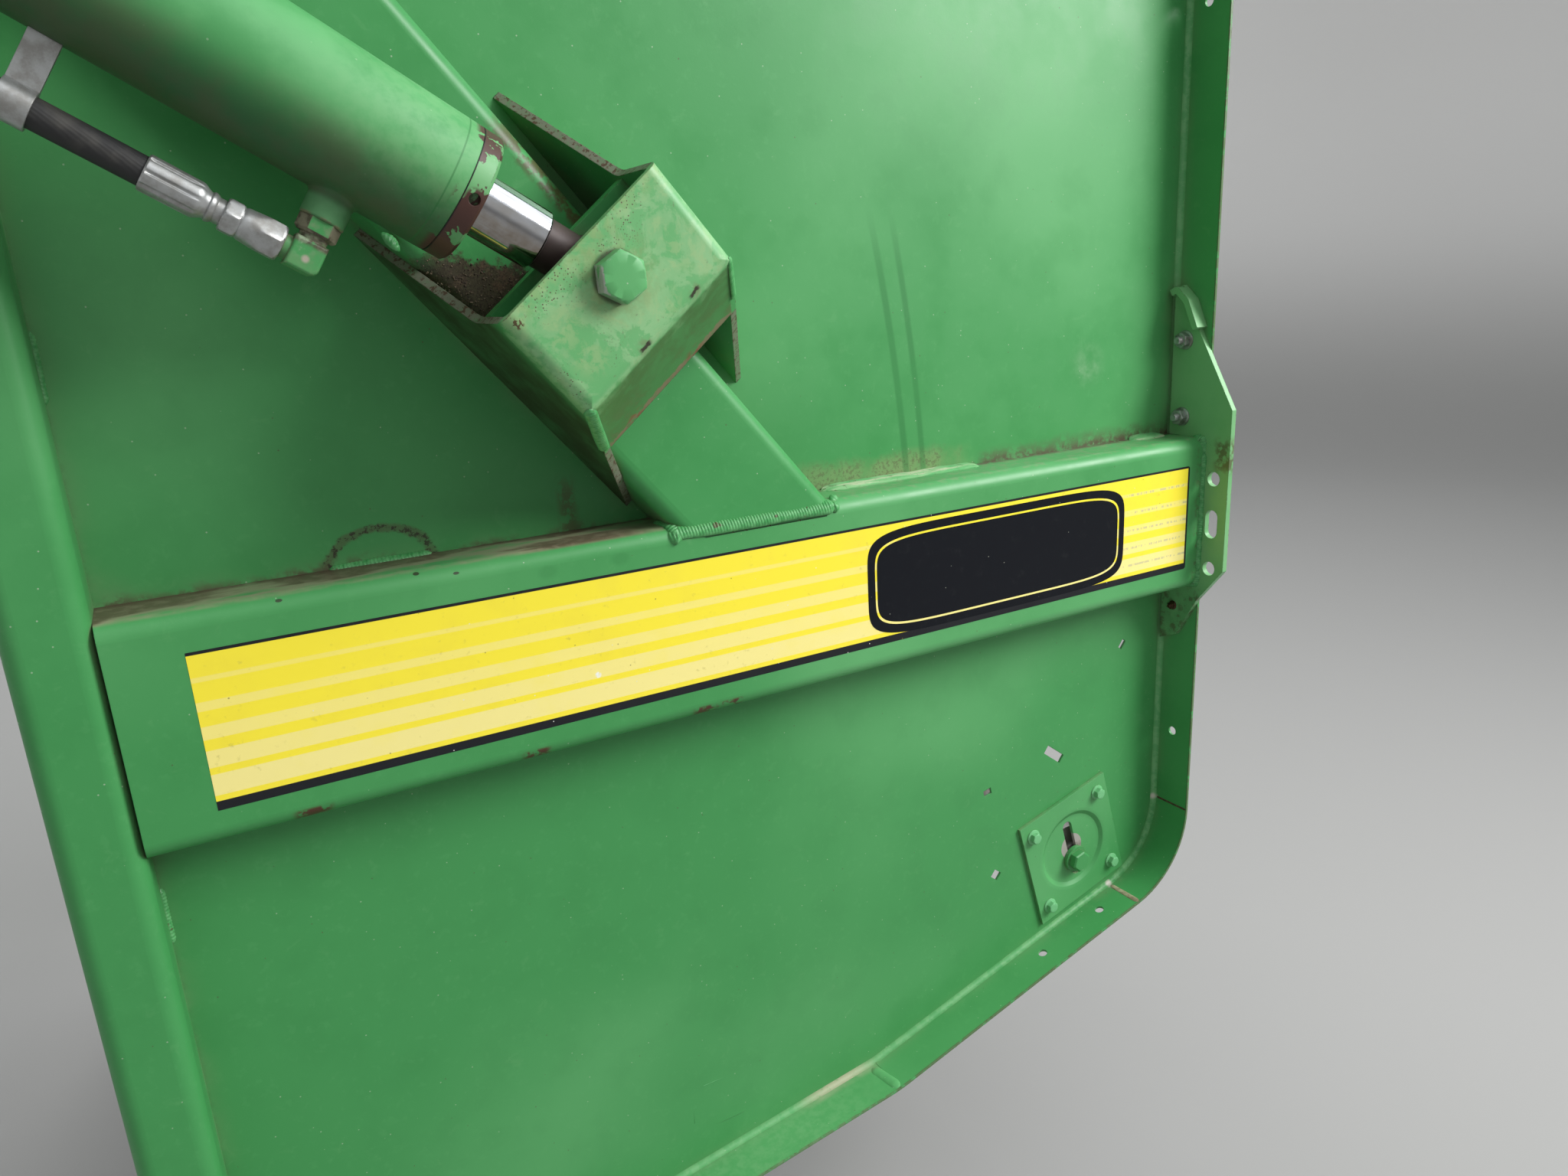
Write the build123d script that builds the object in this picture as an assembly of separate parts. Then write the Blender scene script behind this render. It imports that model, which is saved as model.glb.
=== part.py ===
"""Tailgate of a round baler with its two lift cylinders, in millimetres.

The origin is on the hinge axis, midway between the sides. +X runs to the rear, +Y to the
machine's right side and +Z up. Each side is drawn once, for the left, in side coordinates:
x as above, y up, and z outwards from the side sheet's outer face. The right side is its mirror.
"""
import os
from math import cos, radians, sin, tan

from build123d import *

# Side sheets and the flange bent up around their rim
CHAMBER_WIDTH = 1560.0
SHEET = 3.5
FLANGE_WIDTH = 63.5
BEND_INSIDE = 5.0
SEAM = 0.3
STRAIGHT = 1.0
REAR_X = 1430.0
FRONT_X = 40.0
TOP_Z = 72.0
BOTTOM_Z = -1750.0
REAR_TOP_Z = -230.0
TOP_REAR_X = 1150.0
TOP_RADIUS = 160.0
KNEE_X = 885.0
KNEE_RISE = 58.0
KNEE_RADIUS = 220.0
FRONT_KNEE_X = 420.0
CORNER_SLOPE = 15.5
CORNER_RADIUS = 132.0
EAR_RADIUS = 72.0
EAR_DROP = 330.0
EAR_BLEND = 40.0
FRONT_CORNER = 30.0
HALF_OUT = CHAMBER_WIDTH / 2 + SHEET
KNEE = (KNEE_X, BOTTOM_Z + KNEE_RISE)

# Holes in the rear flange as heights, in the lower flange as x, at this distance out
FLANGE_HOLE_OUT = 30.0
FLANGE_HOLE_DIA = 13.0
REAR_FLANGE_HOLES = [-1321.0, -321.5]
LOWER_FLANGE_HOLES = [1285.0, 1171.0]

# Punched holes in the sheet, from the middle of the lower rear roll's plate:
# (rearwards, upwards, length, width, angle in degrees)
PUNCHED_HOLES = [
    (-38.0, 163.0, 38.0, 13.0, -37.6),
    (-162.0, 138.9, 13.3, 9.5, 13.0),
    (-146.4, 3.7, 13.9, 12.2, -39.8),
    (93.0, 303.0, 14.0, 7.5, -128.0),
]

# Hinge tube and its side plates
HINGE_TUBE_OD = 76.0
HINGE_BORE = 51.0
HINGE_PLATE = 12.0
HINGE_PLATE_RADIUS = 68.0
HINGE_PLATE_DROP = 118.0
SEAT_GAP = 0.3

# Formed channels welded on the side sheets, all of one depth
CHANNEL_WALL = 4.0
CHANNEL_DEPTH = 67.0
CHANNEL_CORNER = 16.0
BEAM_TOP_Z = -871.0
BEAM_HEIGHT = 213.0
POST_WIDTH = 65.0
BRACE_WIDTH = 147.0
BRACE_ANGLE = -50.2

# Cylinder bracket: a saddle bent from one plate, astride the brace.
# Lengths run down the brace from the rod pin; near and far are across the brace.
PIN_X = 529.0
PIN_Z = -623.0
SADDLE_PLATE = 8.0
SADDLE_TOP = 195.0
SADDLE_BEND = 13.0
SADDLE_FRONT = 41.0
SADDLE_REAR = 58.0
SADDLE_NEAR = 98.0
SADDLE_FAR = 92.0
LEG_FRONT = 145.0
LEG_STEP = 118.0
LEG_THROAT = 18.0
LEG_REAR = 220.0
END_PLATE_LOW = 120.0
LUG_PLATE = 12.0
LUG_FRONT = 38.0
LUG_REAR = 52.0

# Lift cylinder, measured along its axis from the rod pin; CYL_OUT is out from the sheet
CYL_OUT = 155.0
CYL_ANGLE = 147.8
PIN_DIA = 25.4
PIN_HEAD = 16.0
PIN_HEAD_AF = 38.1
HEAD_BEVEL = 2.0
PIN_NUT = 22.0
PIN_TAIL = 8.0
RUNNING = 0.05
ROD_DIA = 50.8
ROD_CHAMFER = 2.0
NECK_DIA = 43.0
NECK_END = 60.0
EYE_GAP = 4.0
ROD_EYE_RADIUS = 37.0
ROD_EYE_WIDTH = 52.0
BARREL_OD = 106.0
BARREL_WALL = 8.5
GLAND_FACE = 120.5
GLAND_RING = 17.0
GLAND_DEPTH = 62.0
GLAND_CHAMFER = 2.5
SPANNER_HOLE = 9.0
SPANNER_DEPTH = 7.0
SPANNER_AT = 128.5
SPANNER_ANGLE = 10.0
STROKE = 285.0
PISTON = 45.0
BARREL_END = 645.0
BASE_CAP = 22.0
BASE_NECK_DIA = 56.0
RETRACTED = 700.0
BASE_EYE_RADIUS = 38.0
BASE_EYE_WIDTH = 60.0

# Ports on the barrel's underside, and the hose that is held along it
PORT_AT = 210.0
BASE_PORT_AT = 606.0
PORT_DIA = 33.0
PORT_RISE = 20.0
PORT_BORE = 16.0
PORT_LIP = 1.0
LOCKNUT_AF = 27.0
LOCKNUT = 12.0
HOSE_RISE = 28.5
ELBOW_NECK_DIA = 21.0
ELBOW_AF = 24.0
ELBOW_HEEL = 6.0
ELBOW_EDGE = 2.5
ELBOW_END = 17.0
SWIVEL_AF = 26.0
SWIVEL = 30.0
COLLAR_AF = 24.0
COLLAR = 12.0
FERRULE_NECK_DIA = 19.0
FERRULE_NECK = 5.0
FERRULE_DIA = 27.0
FERRULE = 48.0
FLUTES = 8
FLUTE_WIDTH = 3.0
FLUTE_DEPTH = 1.5
HOSE_DIA = 22.0
HOSE_LENGTH = 340.0
CLAMP_PLACES = [400.0, 560.0]
CLAMP_WIDTH = 20.0
CLAMP_WALL = 3.0

# Places of the rolls, from the sheet's outline
ROLL_PLATE_IN = 178.0
ROLL_PLATE_RISE = 216.5
ROLL_SLIDE = 18.0
UPPER_ROLL_IN = 130.0
UPPER_ROLL_RISE = 10.0
TOP_ROLL_X = 640.0
TOP_ROLL_DROP = 112.0
FRONT_ROLL_IN = 140.0
FRONT_ROLL_RISE = 110.0
ROLL_PLATE_X = REAR_X - ROLL_PLATE_IN
ROLL_PLATE_Z = KNEE[1] + ROLL_PLATE_RISE

# Rolls: (name, x, y, drum diameter)
ROLLS = [
    ("rear_lower", ROLL_PLATE_X + ROLL_SLIDE * sin(radians(CORNER_SLOPE)),
     ROLL_PLATE_Z - ROLL_SLIDE * cos(radians(CORNER_SLOPE)), 90.0),
    ("rear_upper", REAR_X - UPPER_ROLL_IN, REAR_TOP_Z + UPPER_ROLL_RISE, 100.0),
    ("top", TOP_ROLL_X, TOP_Z - TOP_ROLL_DROP, 100.0),
    ("front_lower", FRONT_X + FRONT_ROLL_IN, BOTTOM_Z + FRONT_ROLL_RISE, 90.0),
]
ROLL_GAP = 9.0
ROLL_WALL = 6.0
ROLL_END = 16.0
SHAFT_DIA = 38.0
SHAFT_OUT = 14.0

# Plate with a pressed dish and a slot, in which the lower rear roll is adjusted
ROLL_PLATE = 5.0
ROLL_PLATE_LENGTH = 170.0
ROLL_PLATE_HEIGHT = 178.0
DISH_RADIUS = 61.0
DISH_SLOPE = 6.0
DISH_DEPTH = 3.0
ROLL_SLOT = 96.0
ROLL_BOLT_DIA = 16.0
ROLL_BOLT_AF = 28.6
ROLL_BOLT_HEAD = 12.0
ROLL_BOLT_LENGTH = 45.0
ROLL_WASHER_DIA = 40.0
ROLL_WASHER = 6.0
BEARING_RADIUS = 62.0
BEARING_PLATE = 5.0
BEARING_HUB = 34.0
BEARING_HUB_OUT = 13.0

# Plate at the rear end of each beam; its outline is (out from the sheet, height)
REAR_PLATE = 8.0
REAR_PLATE_EDGE = BEND_INSIDE + SEAT_GAP
REAR_PLATE_OUTLINE = [
    (REAR_PLATE_EDGE, -674), (17, -668), (37, -686), (48, -728), (108, -831), (108, -1054),
    (68, -1103), (33, -1164), (REAR_PLATE_EDGE, -1175),
]
REAR_PLATE_LIP = [(REAR_PLATE_EDGE, -674), (17, -668), (37, -686), (54, -723)]
LIP_WIDTH = 9.0
LIP_FORWARD = 12.0
REAR_HOLE_OUT = 84.5
REAR_HOLE_PITCH = 127.0
REAR_HOLE_Z = -990.0
REAR_HOLE_DIA = 20.0
REAR_SLOT = 40.0

# Places of the cross tubes, from the sheet's outline and the beam
REAR_TUBE_IN = 55.0
TOP_TUBE_IN = 140.0
TOP_TUBE_DROP = 82.0
LOWER_TUBE_RISE = 110.0

# Cross tubes: (name, x, y, width, height)
CROSS_TUBES = [
    ("rear_tube", REAR_X - REAR_TUBE_IN, BEAM_TOP_Z - BEAM_HEIGHT / 2, 60.0, 100.0),
    ("top_tube", TOP_REAR_X - TOP_TUBE_IN, TOP_Z - TOP_TUBE_DROP, 80.0, 60.0),
    ("lower_tube", (FRONT_KNEE_X + KNEE[0]) / 2, BOTTOM_Z + LOWER_TUBE_RISE, 80.0, 60.0),
]
TUBE_WALL = 5.0

SIDE = Plane(origin=(0, -HALF_OUT, 0), x_dir=(1, 0, 0), z_dir=(0, -1, 0))
BEND_OUTSIDE = BEND_INSIDE + SHEET
FLANGE_START_X = FRONT_X + POST_WIDTH
BARREL_BORE = BARREL_OD - 2 * BARREL_WALL
PORT_TOP = BARREL_OD / 2 + PORT_RISE
HOSE_OUT = PORT_TOP + HOSE_RISE
LUG_TOP = CYL_OUT - ROD_EYE_WIDTH / 2 - EYE_GAP
HOSE_END = SWIVEL + COLLAR + FERRULE_NECK + FERRULE
REACH = 2 * (REAR_X - BOTTOM_Z)


def direction(angle):
    """Unit vector in the sheet's plane at an angle in degrees from the rear towards the top."""
    return (cos(radians(angle)), sin(radians(angle)))


def place(base, angle, along):
    """Point in the sheet's plane at a distance from a base point along a direction."""
    ax, az = direction(angle)
    return (base[0] + ax * along, base[1] + az * along)


def write(part, name):
    export_step(part, f"parts/{name}.step")


def write_pair(part, name):
    """Write a part drawn in side coordinates for the left, and its mirror for the right."""
    left = SIDE * part
    write(left, f"{name}_left")
    write(mirror(left, about=Plane.XZ), f"{name}_right")


def rounded(points, radii):
    """Closed outline with each corner rounded to its own radius."""
    return make_face(FilletPolyline(*points, radius=radii, close=True))


def hexagon(across_flats, height):
    return extrude(RegularPolygon(across_flats / 2, 6, major_radius=False), height)


def bolt_head(across_flats, height):
    """Hexagon with its outer edges bevelled."""
    head = hexagon(across_flats, height)
    return chamfer(head.faces().sort_by(Axis.Z)[-1].edges(), HEAD_BEVEL)


def rim_points():
    """Corners of the sheet's rim that carry the flange, from the top's front to the bottom's."""
    rise = (REAR_X - KNEE[0]) * tan(radians(CORNER_SLOPE))
    return [(TOP_REAR_X, TOP_Z), (REAR_X, REAR_TOP_Z), (REAR_X, KNEE[1] + rise), KNEE,
            (FRONT_KNEE_X, BOTTOM_Z)]


RIM_RADII = [TOP_RADIUS, TOP_RADIUS, CORNER_RADIUS, KNEE_RADIUS, KNEE_RADIUS]


def seam_places():
    """Seams of the flange as (x, y, angle of its run): at both ends of the lower rear corner
    and at the knee."""
    corner = rim_points()[2]
    reach = CORNER_RADIUS * tan(radians(45 - CORNER_SLOPE / 2))
    lower = place(corner, 180 + CORNER_SLOPE, reach)
    return [(corner[0], corner[1] + reach, 90), (lower[0], lower[1], CORNER_SLOPE),
            (KNEE[0], KNEE[1], CORNER_SLOPE)]


def side_sheet():
    """Flat part of the side sheet, up to the start of the flange's bend."""
    points = [(-EAR_RADIUS, TOP_Z)] + rim_points() + [
        (FRONT_X, BOTTOM_Z), (FRONT_X, -EAR_DROP), (-EAR_RADIUS, FRONT_X + EAR_RADIUS - EAR_DROP)]
    radii = [EAR_RADIUS - STRAIGHT] + RIM_RADII + [FRONT_CORNER, EAR_BLEND, EAR_BLEND]
    outline = rounded(points, radii)
    behind_front = Pos(FLANGE_START_X + REACH / 2, 0) * Rectangle(REACH, REACH)
    flat = offset(outline, -BEND_OUTSIDE) + (outline - behind_front)
    flat -= Circle(HINGE_TUBE_OD / 2 + SEAT_GAP)
    for name, x, y, drum in ROLLS[1:]:
        flat -= Pos(x, y) * Circle(SHAFT_DIA / 2 + SEAT_GAP)
    flat -= Pos(ROLL_PLATE_X, ROLL_PLATE_Z) * Circle(DISH_RADIUS + DISH_SLOPE / 2)
    for x, y, length, width, angle in PUNCHED_HOLES:
        flat -= Pos(ROLL_PLATE_X + x, ROLL_PLATE_Z + y) * Rectangle(length, width, rotation=angle)
    return extrude(flat, -SHEET)


def flange():
    """Bend and outward wall swept around the rim, cut at the welded seams."""
    start = (FLANGE_START_X, TOP_Z)
    path = FilletPolyline(start, *rim_points(), (FLANGE_START_X, BOTTOM_Z), radius=RIM_RADII)
    outer = CenterArc((BEND_INSIDE, BEND_OUTSIDE), BEND_OUTSIDE, 180, 90)
    inner = CenterArc((BEND_INSIDE, BEND_OUTSIDE), BEND_INSIDE, 180, 90)
    section = make_face([
        outer, Line(outer @ 1, (FLANGE_WIDTH, 0)), Line((FLANGE_WIDTH, 0), (FLANGE_WIDTH, SHEET)),
        Line((FLANGE_WIDTH, SHEET), inner @ 1), inner, Line(inner @ 0, outer @ 0)])
    across = Plane(origin=(start[0], start[1], 0), x_dir=(0, 0, 1), z_dir=(1, 0, 0))
    wall = sweep(across * section, path)
    for x, y, angle in seam_places():
        wall -= Pos(x, y) * Rot(0, 0, angle) * Box(SEAM, 4 * BEND_OUTSIDE, 4 * FLANGE_WIDTH)
    hole = Cylinder(FLANGE_HOLE_DIA / 2, 4 * SHEET)
    for y in REAR_FLANGE_HOLES:
        wall -= Pos(REAR_X, y, FLANGE_HOLE_OUT) * Rot(0, 90, 0) * hole
    for x in LOWER_FLANGE_HOLES:
        y = KNEE[1] + (x - KNEE[0]) * tan(radians(CORNER_SLOPE))
        wall -= Pos(x, y, FLANGE_HOLE_OUT) * Rot(0, 0, CORNER_SLOPE) * Rot(90, 0, 0) * hole
    return wall


def channel_outline(low, high, inset=0.0):
    """Outline of a channel in (out, across), with its two bends rounded, moved in by the inset."""
    depth, width = CHANNEL_DEPTH - inset, high - low - 2 * inset
    outline = Pos(depth / 2, (low + high) / 2) * Rectangle(depth, width)
    return fillet(outline.vertices().group_by(Axis.X)[-1], CHANNEL_CORNER - inset)


def channel_section(low, high):
    """Channel that opens to the sheet."""
    return channel_outline(low, high) - channel_outline(low, high, CHANNEL_WALL)


def side_beam(section=channel_section):
    length = REAR_X - SHEET - REAR_PLATE - FLANGE_START_X
    plane = Plane(origin=(FLANGE_START_X + length, 0, 0), x_dir=(0, 0, 1), z_dir=(-1, 0, 0))
    return extrude(plane * section(BEAM_TOP_Z - BEAM_HEIGHT, BEAM_TOP_Z), length)


def front_post():
    plane = Plane(origin=(0, BOTTOM_Z, 0), x_dir=(0, 0, 1), z_dir=(0, 1, 0))
    section = channel_section(FRONT_X, FLANGE_START_X)
    return extrude(plane * section, -HINGE_PLATE_DROP - SEAT_GAP - BOTTOM_Z)


def brace():
    """Channel from the beam's top up to the front post, along the line to the hinge."""
    near = SADDLE_PLATE - SADDLE_NEAR
    reach = 2 * (TOP_Z - BEAM_TOP_Z)
    foot = place((PIN_X, PIN_Z), BRACE_ANGLE, reach / 2)
    ax, az = direction(BRACE_ANGLE)
    plane = Plane(origin=(foot[0], foot[1], 0), x_dir=(0, 0, 1), z_dir=(-ax, -az, 0))
    part = extrude(plane * channel_section(near, near + BRACE_WIDTH), reach)
    beam = side_beam(channel_outline)
    below = Pos(0, BEAM_TOP_Z - CHANNEL_CORNER - REACH / 2) * Box(REACH, REACH, REACH)
    ahead = Pos(FLANGE_START_X - REACH / 2, 0) * Box(REACH, REACH, REACH)
    return part - beam - below - ahead


def saddle_plane():
    ax, az = direction(BRACE_ANGLE)
    return Plane(origin=(PIN_X, PIN_Z, 0), x_dir=(ax, az, 0), z_dir=(0, 0, 1))


def saddle_profile(inset):
    """Side view in (along the brace, out), moved inwards by the inset at the top and rear."""
    top = SADDLE_TOP - inset
    slope = (LEG_REAR - SADDLE_REAR) / SADDLE_TOP
    shift = inset * (1 + slope * slope) ** 0.5
    rear_top = SADDLE_REAR + slope * inset - shift
    return Polyline((-LEG_FRONT, top), (rear_top, top), (LEG_REAR - shift, 0), (-LEG_FRONT, 0),
                    close=True)


def saddle_block(inset):
    """Solid under the saddle's plate, with the bends along the face and over its lower end."""
    near, far = -SADDLE_NEAR + inset, SADDLE_FAR - inset
    side = Plane(origin=(0, far, 0), x_dir=(1, 0, 0), z_dir=(0, -1, 0))
    block = extrude(side * make_face(saddle_profile(inset)), far - near)
    top = block.faces().sort_by(Axis.Z)[-1]
    bends = top.edges() - top.edges().filter_by(Axis.Y).sort_by(Axis.X)[:1]
    return fillet(bends, SADDLE_BEND - inset)


def leg_front():
    """Region in front of the legs' and the face's front edges, with the round throat between."""
    far = -2 * LEG_FRONT
    corner = (-SADDLE_FRONT, LEG_STEP)
    region = make_face(Polyline(
        (far, -SADDLE_TOP), (-LEG_FRONT, -SADDLE_TOP), (-LEG_FRONT, 0), corner,
        (-SADDLE_FRONT, 2 * SADDLE_TOP), (far, 2 * SADDLE_TOP), close=True))
    return fillet(region.vertices().sort_by_distance(corner)[0], LEG_THROAT)


def saddle():
    """Face, two legs and sloping end plate, bent from one plate; open in front and below."""
    body = saddle_block(0) - saddle_block(SADDLE_PLATE)
    width = SADDLE_NEAR + SADDLE_FAR
    side = Plane(origin=(0, 2 * width, 0), x_dir=(1, 0, 0), z_dir=(0, -1, 0))
    body -= extrude(side * leg_front(), 4 * width)
    near, far = -SADDLE_NEAR + SADDLE_PLATE, SADDLE_FAR - SADDLE_PLATE
    below = Pos(LEG_REAR / 2, (near + far) / 2, END_PLATE_LOW / 2) * Box(
        2 * LEG_REAR, far - near, END_PLATE_LOW)
    body -= below
    body -= Pos(0, 0, SADDLE_TOP) * Cylinder(PIN_DIA / 2 + RUNNING, 4 * SADDLE_PLATE)
    return saddle_plane() * body


def lug():
    """Inner ear of the bracket, between its legs and under the rod's eye."""
    near, far = -SADDLE_NEAR + SADDLE_PLATE, SADDLE_FAR - SADDLE_PLATE
    plate = Pos((LUG_REAR - LUG_FRONT) / 2, (near + far) / 2, LUG_TOP - LUG_PLATE / 2) * Box(
        LUG_FRONT + LUG_REAR, far - near, LUG_PLATE)
    plate -= Pos(0, 0, LUG_TOP) * Cylinder(PIN_DIA / 2 + RUNNING, 4 * LUG_PLATE)
    return saddle_plane() * plate


def rod_pin():
    """Bolt through the bracket's face, the rod's eye and the lug, with its nut."""
    seat = LUG_TOP - LUG_PLATE
    end = seat - PIN_NUT - PIN_TAIL
    pin = Pos(0, 0, SADDLE_TOP) * bolt_head(PIN_HEAD_AF, PIN_HEAD)
    pin += Pos(0, 0, (SADDLE_TOP + end) / 2) * Cylinder(PIN_DIA / 2, SADDLE_TOP - end)
    pin += Pos(0, 0, seat - PIN_NUT) * hexagon(PIN_HEAD_AF, PIN_NUT)
    return Pos(PIN_X, PIN_Z) * Rot(0, 0, BRACE_ANGLE) * pin


def cylinder_plane():
    """Frame at the rod pin: x along the cylinder to its base, z outwards from the sheet."""
    ax, az = direction(CYL_ANGLE)
    return Plane(origin=(PIN_X, PIN_Z, CYL_OUT), x_dir=(ax, az, 0), z_dir=(0, 0, 1))


def along(start, end, diameter):
    """Round bar on the cylinder's axis."""
    return Pos((start + end) / 2, 0, 0) * Rot(0, 90, 0) * Cylinder(diameter / 2, end - start)


def rod():
    inner = GLAND_FACE + GLAND_RING + STROKE + GLAND_DEPTH
    chrome = chamfer(along(NECK_END, inner, ROD_DIA).edges().sort_by(Axis.X)[:1], ROD_CHAMFER)
    part = along(0, NECK_END, NECK_DIA) + chrome + along(inner, inner + PISTON,
                                                          BARREL_BORE - 2 * RUNNING)
    part += Cylinder(ROD_EYE_RADIUS, ROD_EYE_WIDTH)
    part -= Cylinder(PIN_DIA / 2 + RUNNING, 2 * ROD_EYE_WIDTH)
    return cylinder_plane() * part


def gland():
    """Screwed gland: a ring flush with the barrel, with spanner holes, and its spigot inside."""
    ring_end = GLAND_FACE + GLAND_RING
    ring = along(GLAND_FACE, ring_end, BARREL_OD)
    ring = chamfer(ring.edges().sort_by(Axis.X)[:1], GLAND_CHAMFER)
    part = ring + along(ring_end, GLAND_FACE + GLAND_DEPTH, BARREL_BORE)
    part -= along(0, GLAND_FACE + 2 * GLAND_DEPTH, ROD_DIA + 2 * RUNNING)
    for turn in (0, 180):
        hole = Pos(SPANNER_AT, 0, BARREL_OD / 2) * Cylinder(SPANNER_HOLE / 2, 2 * SPANNER_DEPTH)
        part -= Rot(turn - SPANNER_ANGLE, 0, 0) * hole
    return cylinder_plane() * part


def below_barrel(place_along, start, end):
    """Frame square to the axis, pointing down and forward from the barrel, and its length."""
    plane = Plane(origin=(place_along, start, 0), x_dir=(1, 0, 0), z_dir=(0, 1, 0))
    return plane, end - start


def port(place_along):
    """Round boss whose outer rim is broken by a small bevel."""
    plane, height = below_barrel(place_along, BARREL_OD / 2 - BARREL_WALL / 2, PORT_TOP)
    boss = extrude(plane * Circle(PORT_DIA / 2), height)
    return chamfer(boss.edges().sort_by(Axis.Y)[-1], PORT_LIP)


def port_bore(place_along):
    plane, height = below_barrel(place_along, 0, 2 * PORT_TOP)
    return extrude(plane * Circle(PORT_BORE / 2), height)


def barrel():
    """Tube with its base cap, neck and eye, and a port boss near each end."""
    start = GLAND_FACE + GLAND_RING
    part = along(start, BARREL_END, BARREL_OD) - along(0, BARREL_END - BASE_CAP, BARREL_BORE)
    part += along(BARREL_END, RETRACTED, BASE_NECK_DIA)
    part += Pos(RETRACTED, 0, 0) * Cylinder(BASE_EYE_RADIUS, BASE_EYE_WIDTH)
    part -= Pos(RETRACTED, 0, 0) * Cylinder(PIN_DIA / 2 + RUNNING, 2 * BASE_EYE_WIDTH)
    for place_along in (PORT_AT, BASE_PORT_AT):
        part += port(place_along)
        part -= port_bore(place_along)
    return cylinder_plane() * part


def elbow():
    """Forged elbow in the port nearer the gland: locknut, neck, block and a stub to the hose.

    The block is round at its heel, and its two flats have rounded edges.
    """
    plane, height = below_barrel(PORT_AT, PORT_TOP, HOSE_OUT)
    part = plane * bolt_head(LOCKNUT_AF, LOCKNUT)
    part += extrude(plane * Circle(ELBOW_NECK_DIA / 2), height)
    block = Pos(PORT_AT, HOSE_OUT, 0) * Box(ELBOW_AF, ELBOW_AF, ELBOW_AF)
    heel = block.edges().filter_by(Axis.Z).group_by(Axis.Y)[-1].sort_by(Axis.X)[0]
    block = fillet(heel, ELBOW_HEEL)
    flats = block.faces().sort_by(Axis.Z)
    block = fillet(flats[0].edges() + flats[-1].edges(), ELBOW_EDGE)
    stub = Pos(0, HOSE_OUT, 0) * along(PORT_AT, PORT_AT + ELBOW_END, ELBOW_AF - 2 * ELBOW_EDGE)
    return cylinder_plane() * (part + block + stub)


def hose_end(start, way):
    """Swivel nut, collar, neck and fluted ferrule on the hose's line, towards the hose."""
    def turned(begin, shape, length):
        plane = Plane(origin=(start + way * begin, HOSE_OUT, 0), x_dir=(0, 0, 1), z_dir=(way, 0, 0))
        return extrude(plane * shape, length)
    nut = turned(0, RegularPolygon(SWIVEL_AF / 2, 6, major_radius=False), SWIVEL)
    collar = turned(SWIVEL, RegularPolygon(COLLAR_AF / 2, 6, major_radius=False), COLLAR)
    neck = turned(SWIVEL + COLLAR, Circle(FERRULE_NECK_DIA / 2), FERRULE_NECK)
    flutes = PolarLocations(FERRULE_DIA / 2, FLUTES) * Rectangle(2 * FLUTE_DEPTH, FLUTE_WIDTH)
    ferrule = turned(HOSE_END - FERRULE, Circle(FERRULE_DIA / 2) - flutes, FERRULE)
    return nut + collar + neck + ferrule


def hose_span():
    start = PORT_AT + ELBOW_END + HOSE_END
    return start, start + HOSE_LENGTH


def hose_fittings():
    """Crimped fittings of the hose's two ends."""
    start, end = hose_span()
    return cylinder_plane() * (hose_end(start - HOSE_END, 1) + hose_end(end + HOSE_END, -1))


def hose():
    start, end = hose_span()
    return cylinder_plane() * (Pos(0, HOSE_OUT, 0) * along(start, end, HOSE_DIA))


def hose_clamps():
    """Rings around the hose, each on a short post that is welded on the barrel."""
    parts = []
    for place_along in CLAMP_PLACES:
        low, high = place_along - CLAMP_WIDTH / 2, place_along + CLAMP_WIDTH / 2
        ring = Pos(0, HOSE_OUT, 0) * along(low, high, HOSE_DIA + 2 * CLAMP_WALL)
        plane, height = below_barrel(place_along, BARREL_OD / 2, HOSE_OUT)
        post = extrude(plane * Rectangle(CLAMP_WIDTH, 2 * CLAMP_WALL), height)
        post -= along(0, BARREL_END, BARREL_OD + 2 * RUNNING)
        clamp = ring + post
        clamp -= Pos(0, HOSE_OUT, 0) * along(low - CLAMP_WIDTH, high + CLAMP_WIDTH,
                                             HOSE_DIA + 2 * RUNNING)
        parts.append(clamp)
    return cylinder_plane() * Compound(parts)


def rear_plate():
    """Plate across the beam's end, with a lip bent forward along its upper inner edge."""
    outline = make_face(Polyline(*REAR_PLATE_OUTLINE, close=True))
    for rise in (-1, 1):
        outline -= Pos(REAR_HOLE_OUT, REAR_HOLE_Z + rise * REAR_HOLE_PITCH / 2) * Circle(
            REAR_HOLE_DIA / 2)
    outline -= Pos(REAR_HOLE_OUT, REAR_HOLE_Z) * SlotOverall(REAR_SLOT, REAR_HOLE_DIA, rotation=90)
    back = Plane(origin=(REAR_X - SHEET, 0, 0), x_dir=(0, 0, 1), z_dir=(-1, 0, 0))
    first, second, third, last = REAR_PLATE_LIP
    edge = FilletPolyline(first, second, third, last, radius=[LIP_WIDTH, LIP_WIDTH])
    lip = make_face(offset(edge, LIP_WIDTH, side=Side.RIGHT))
    return extrude(back * outline, REAR_PLATE) + extrude(back * lip, REAR_PLATE + LIP_FORWARD)


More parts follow.
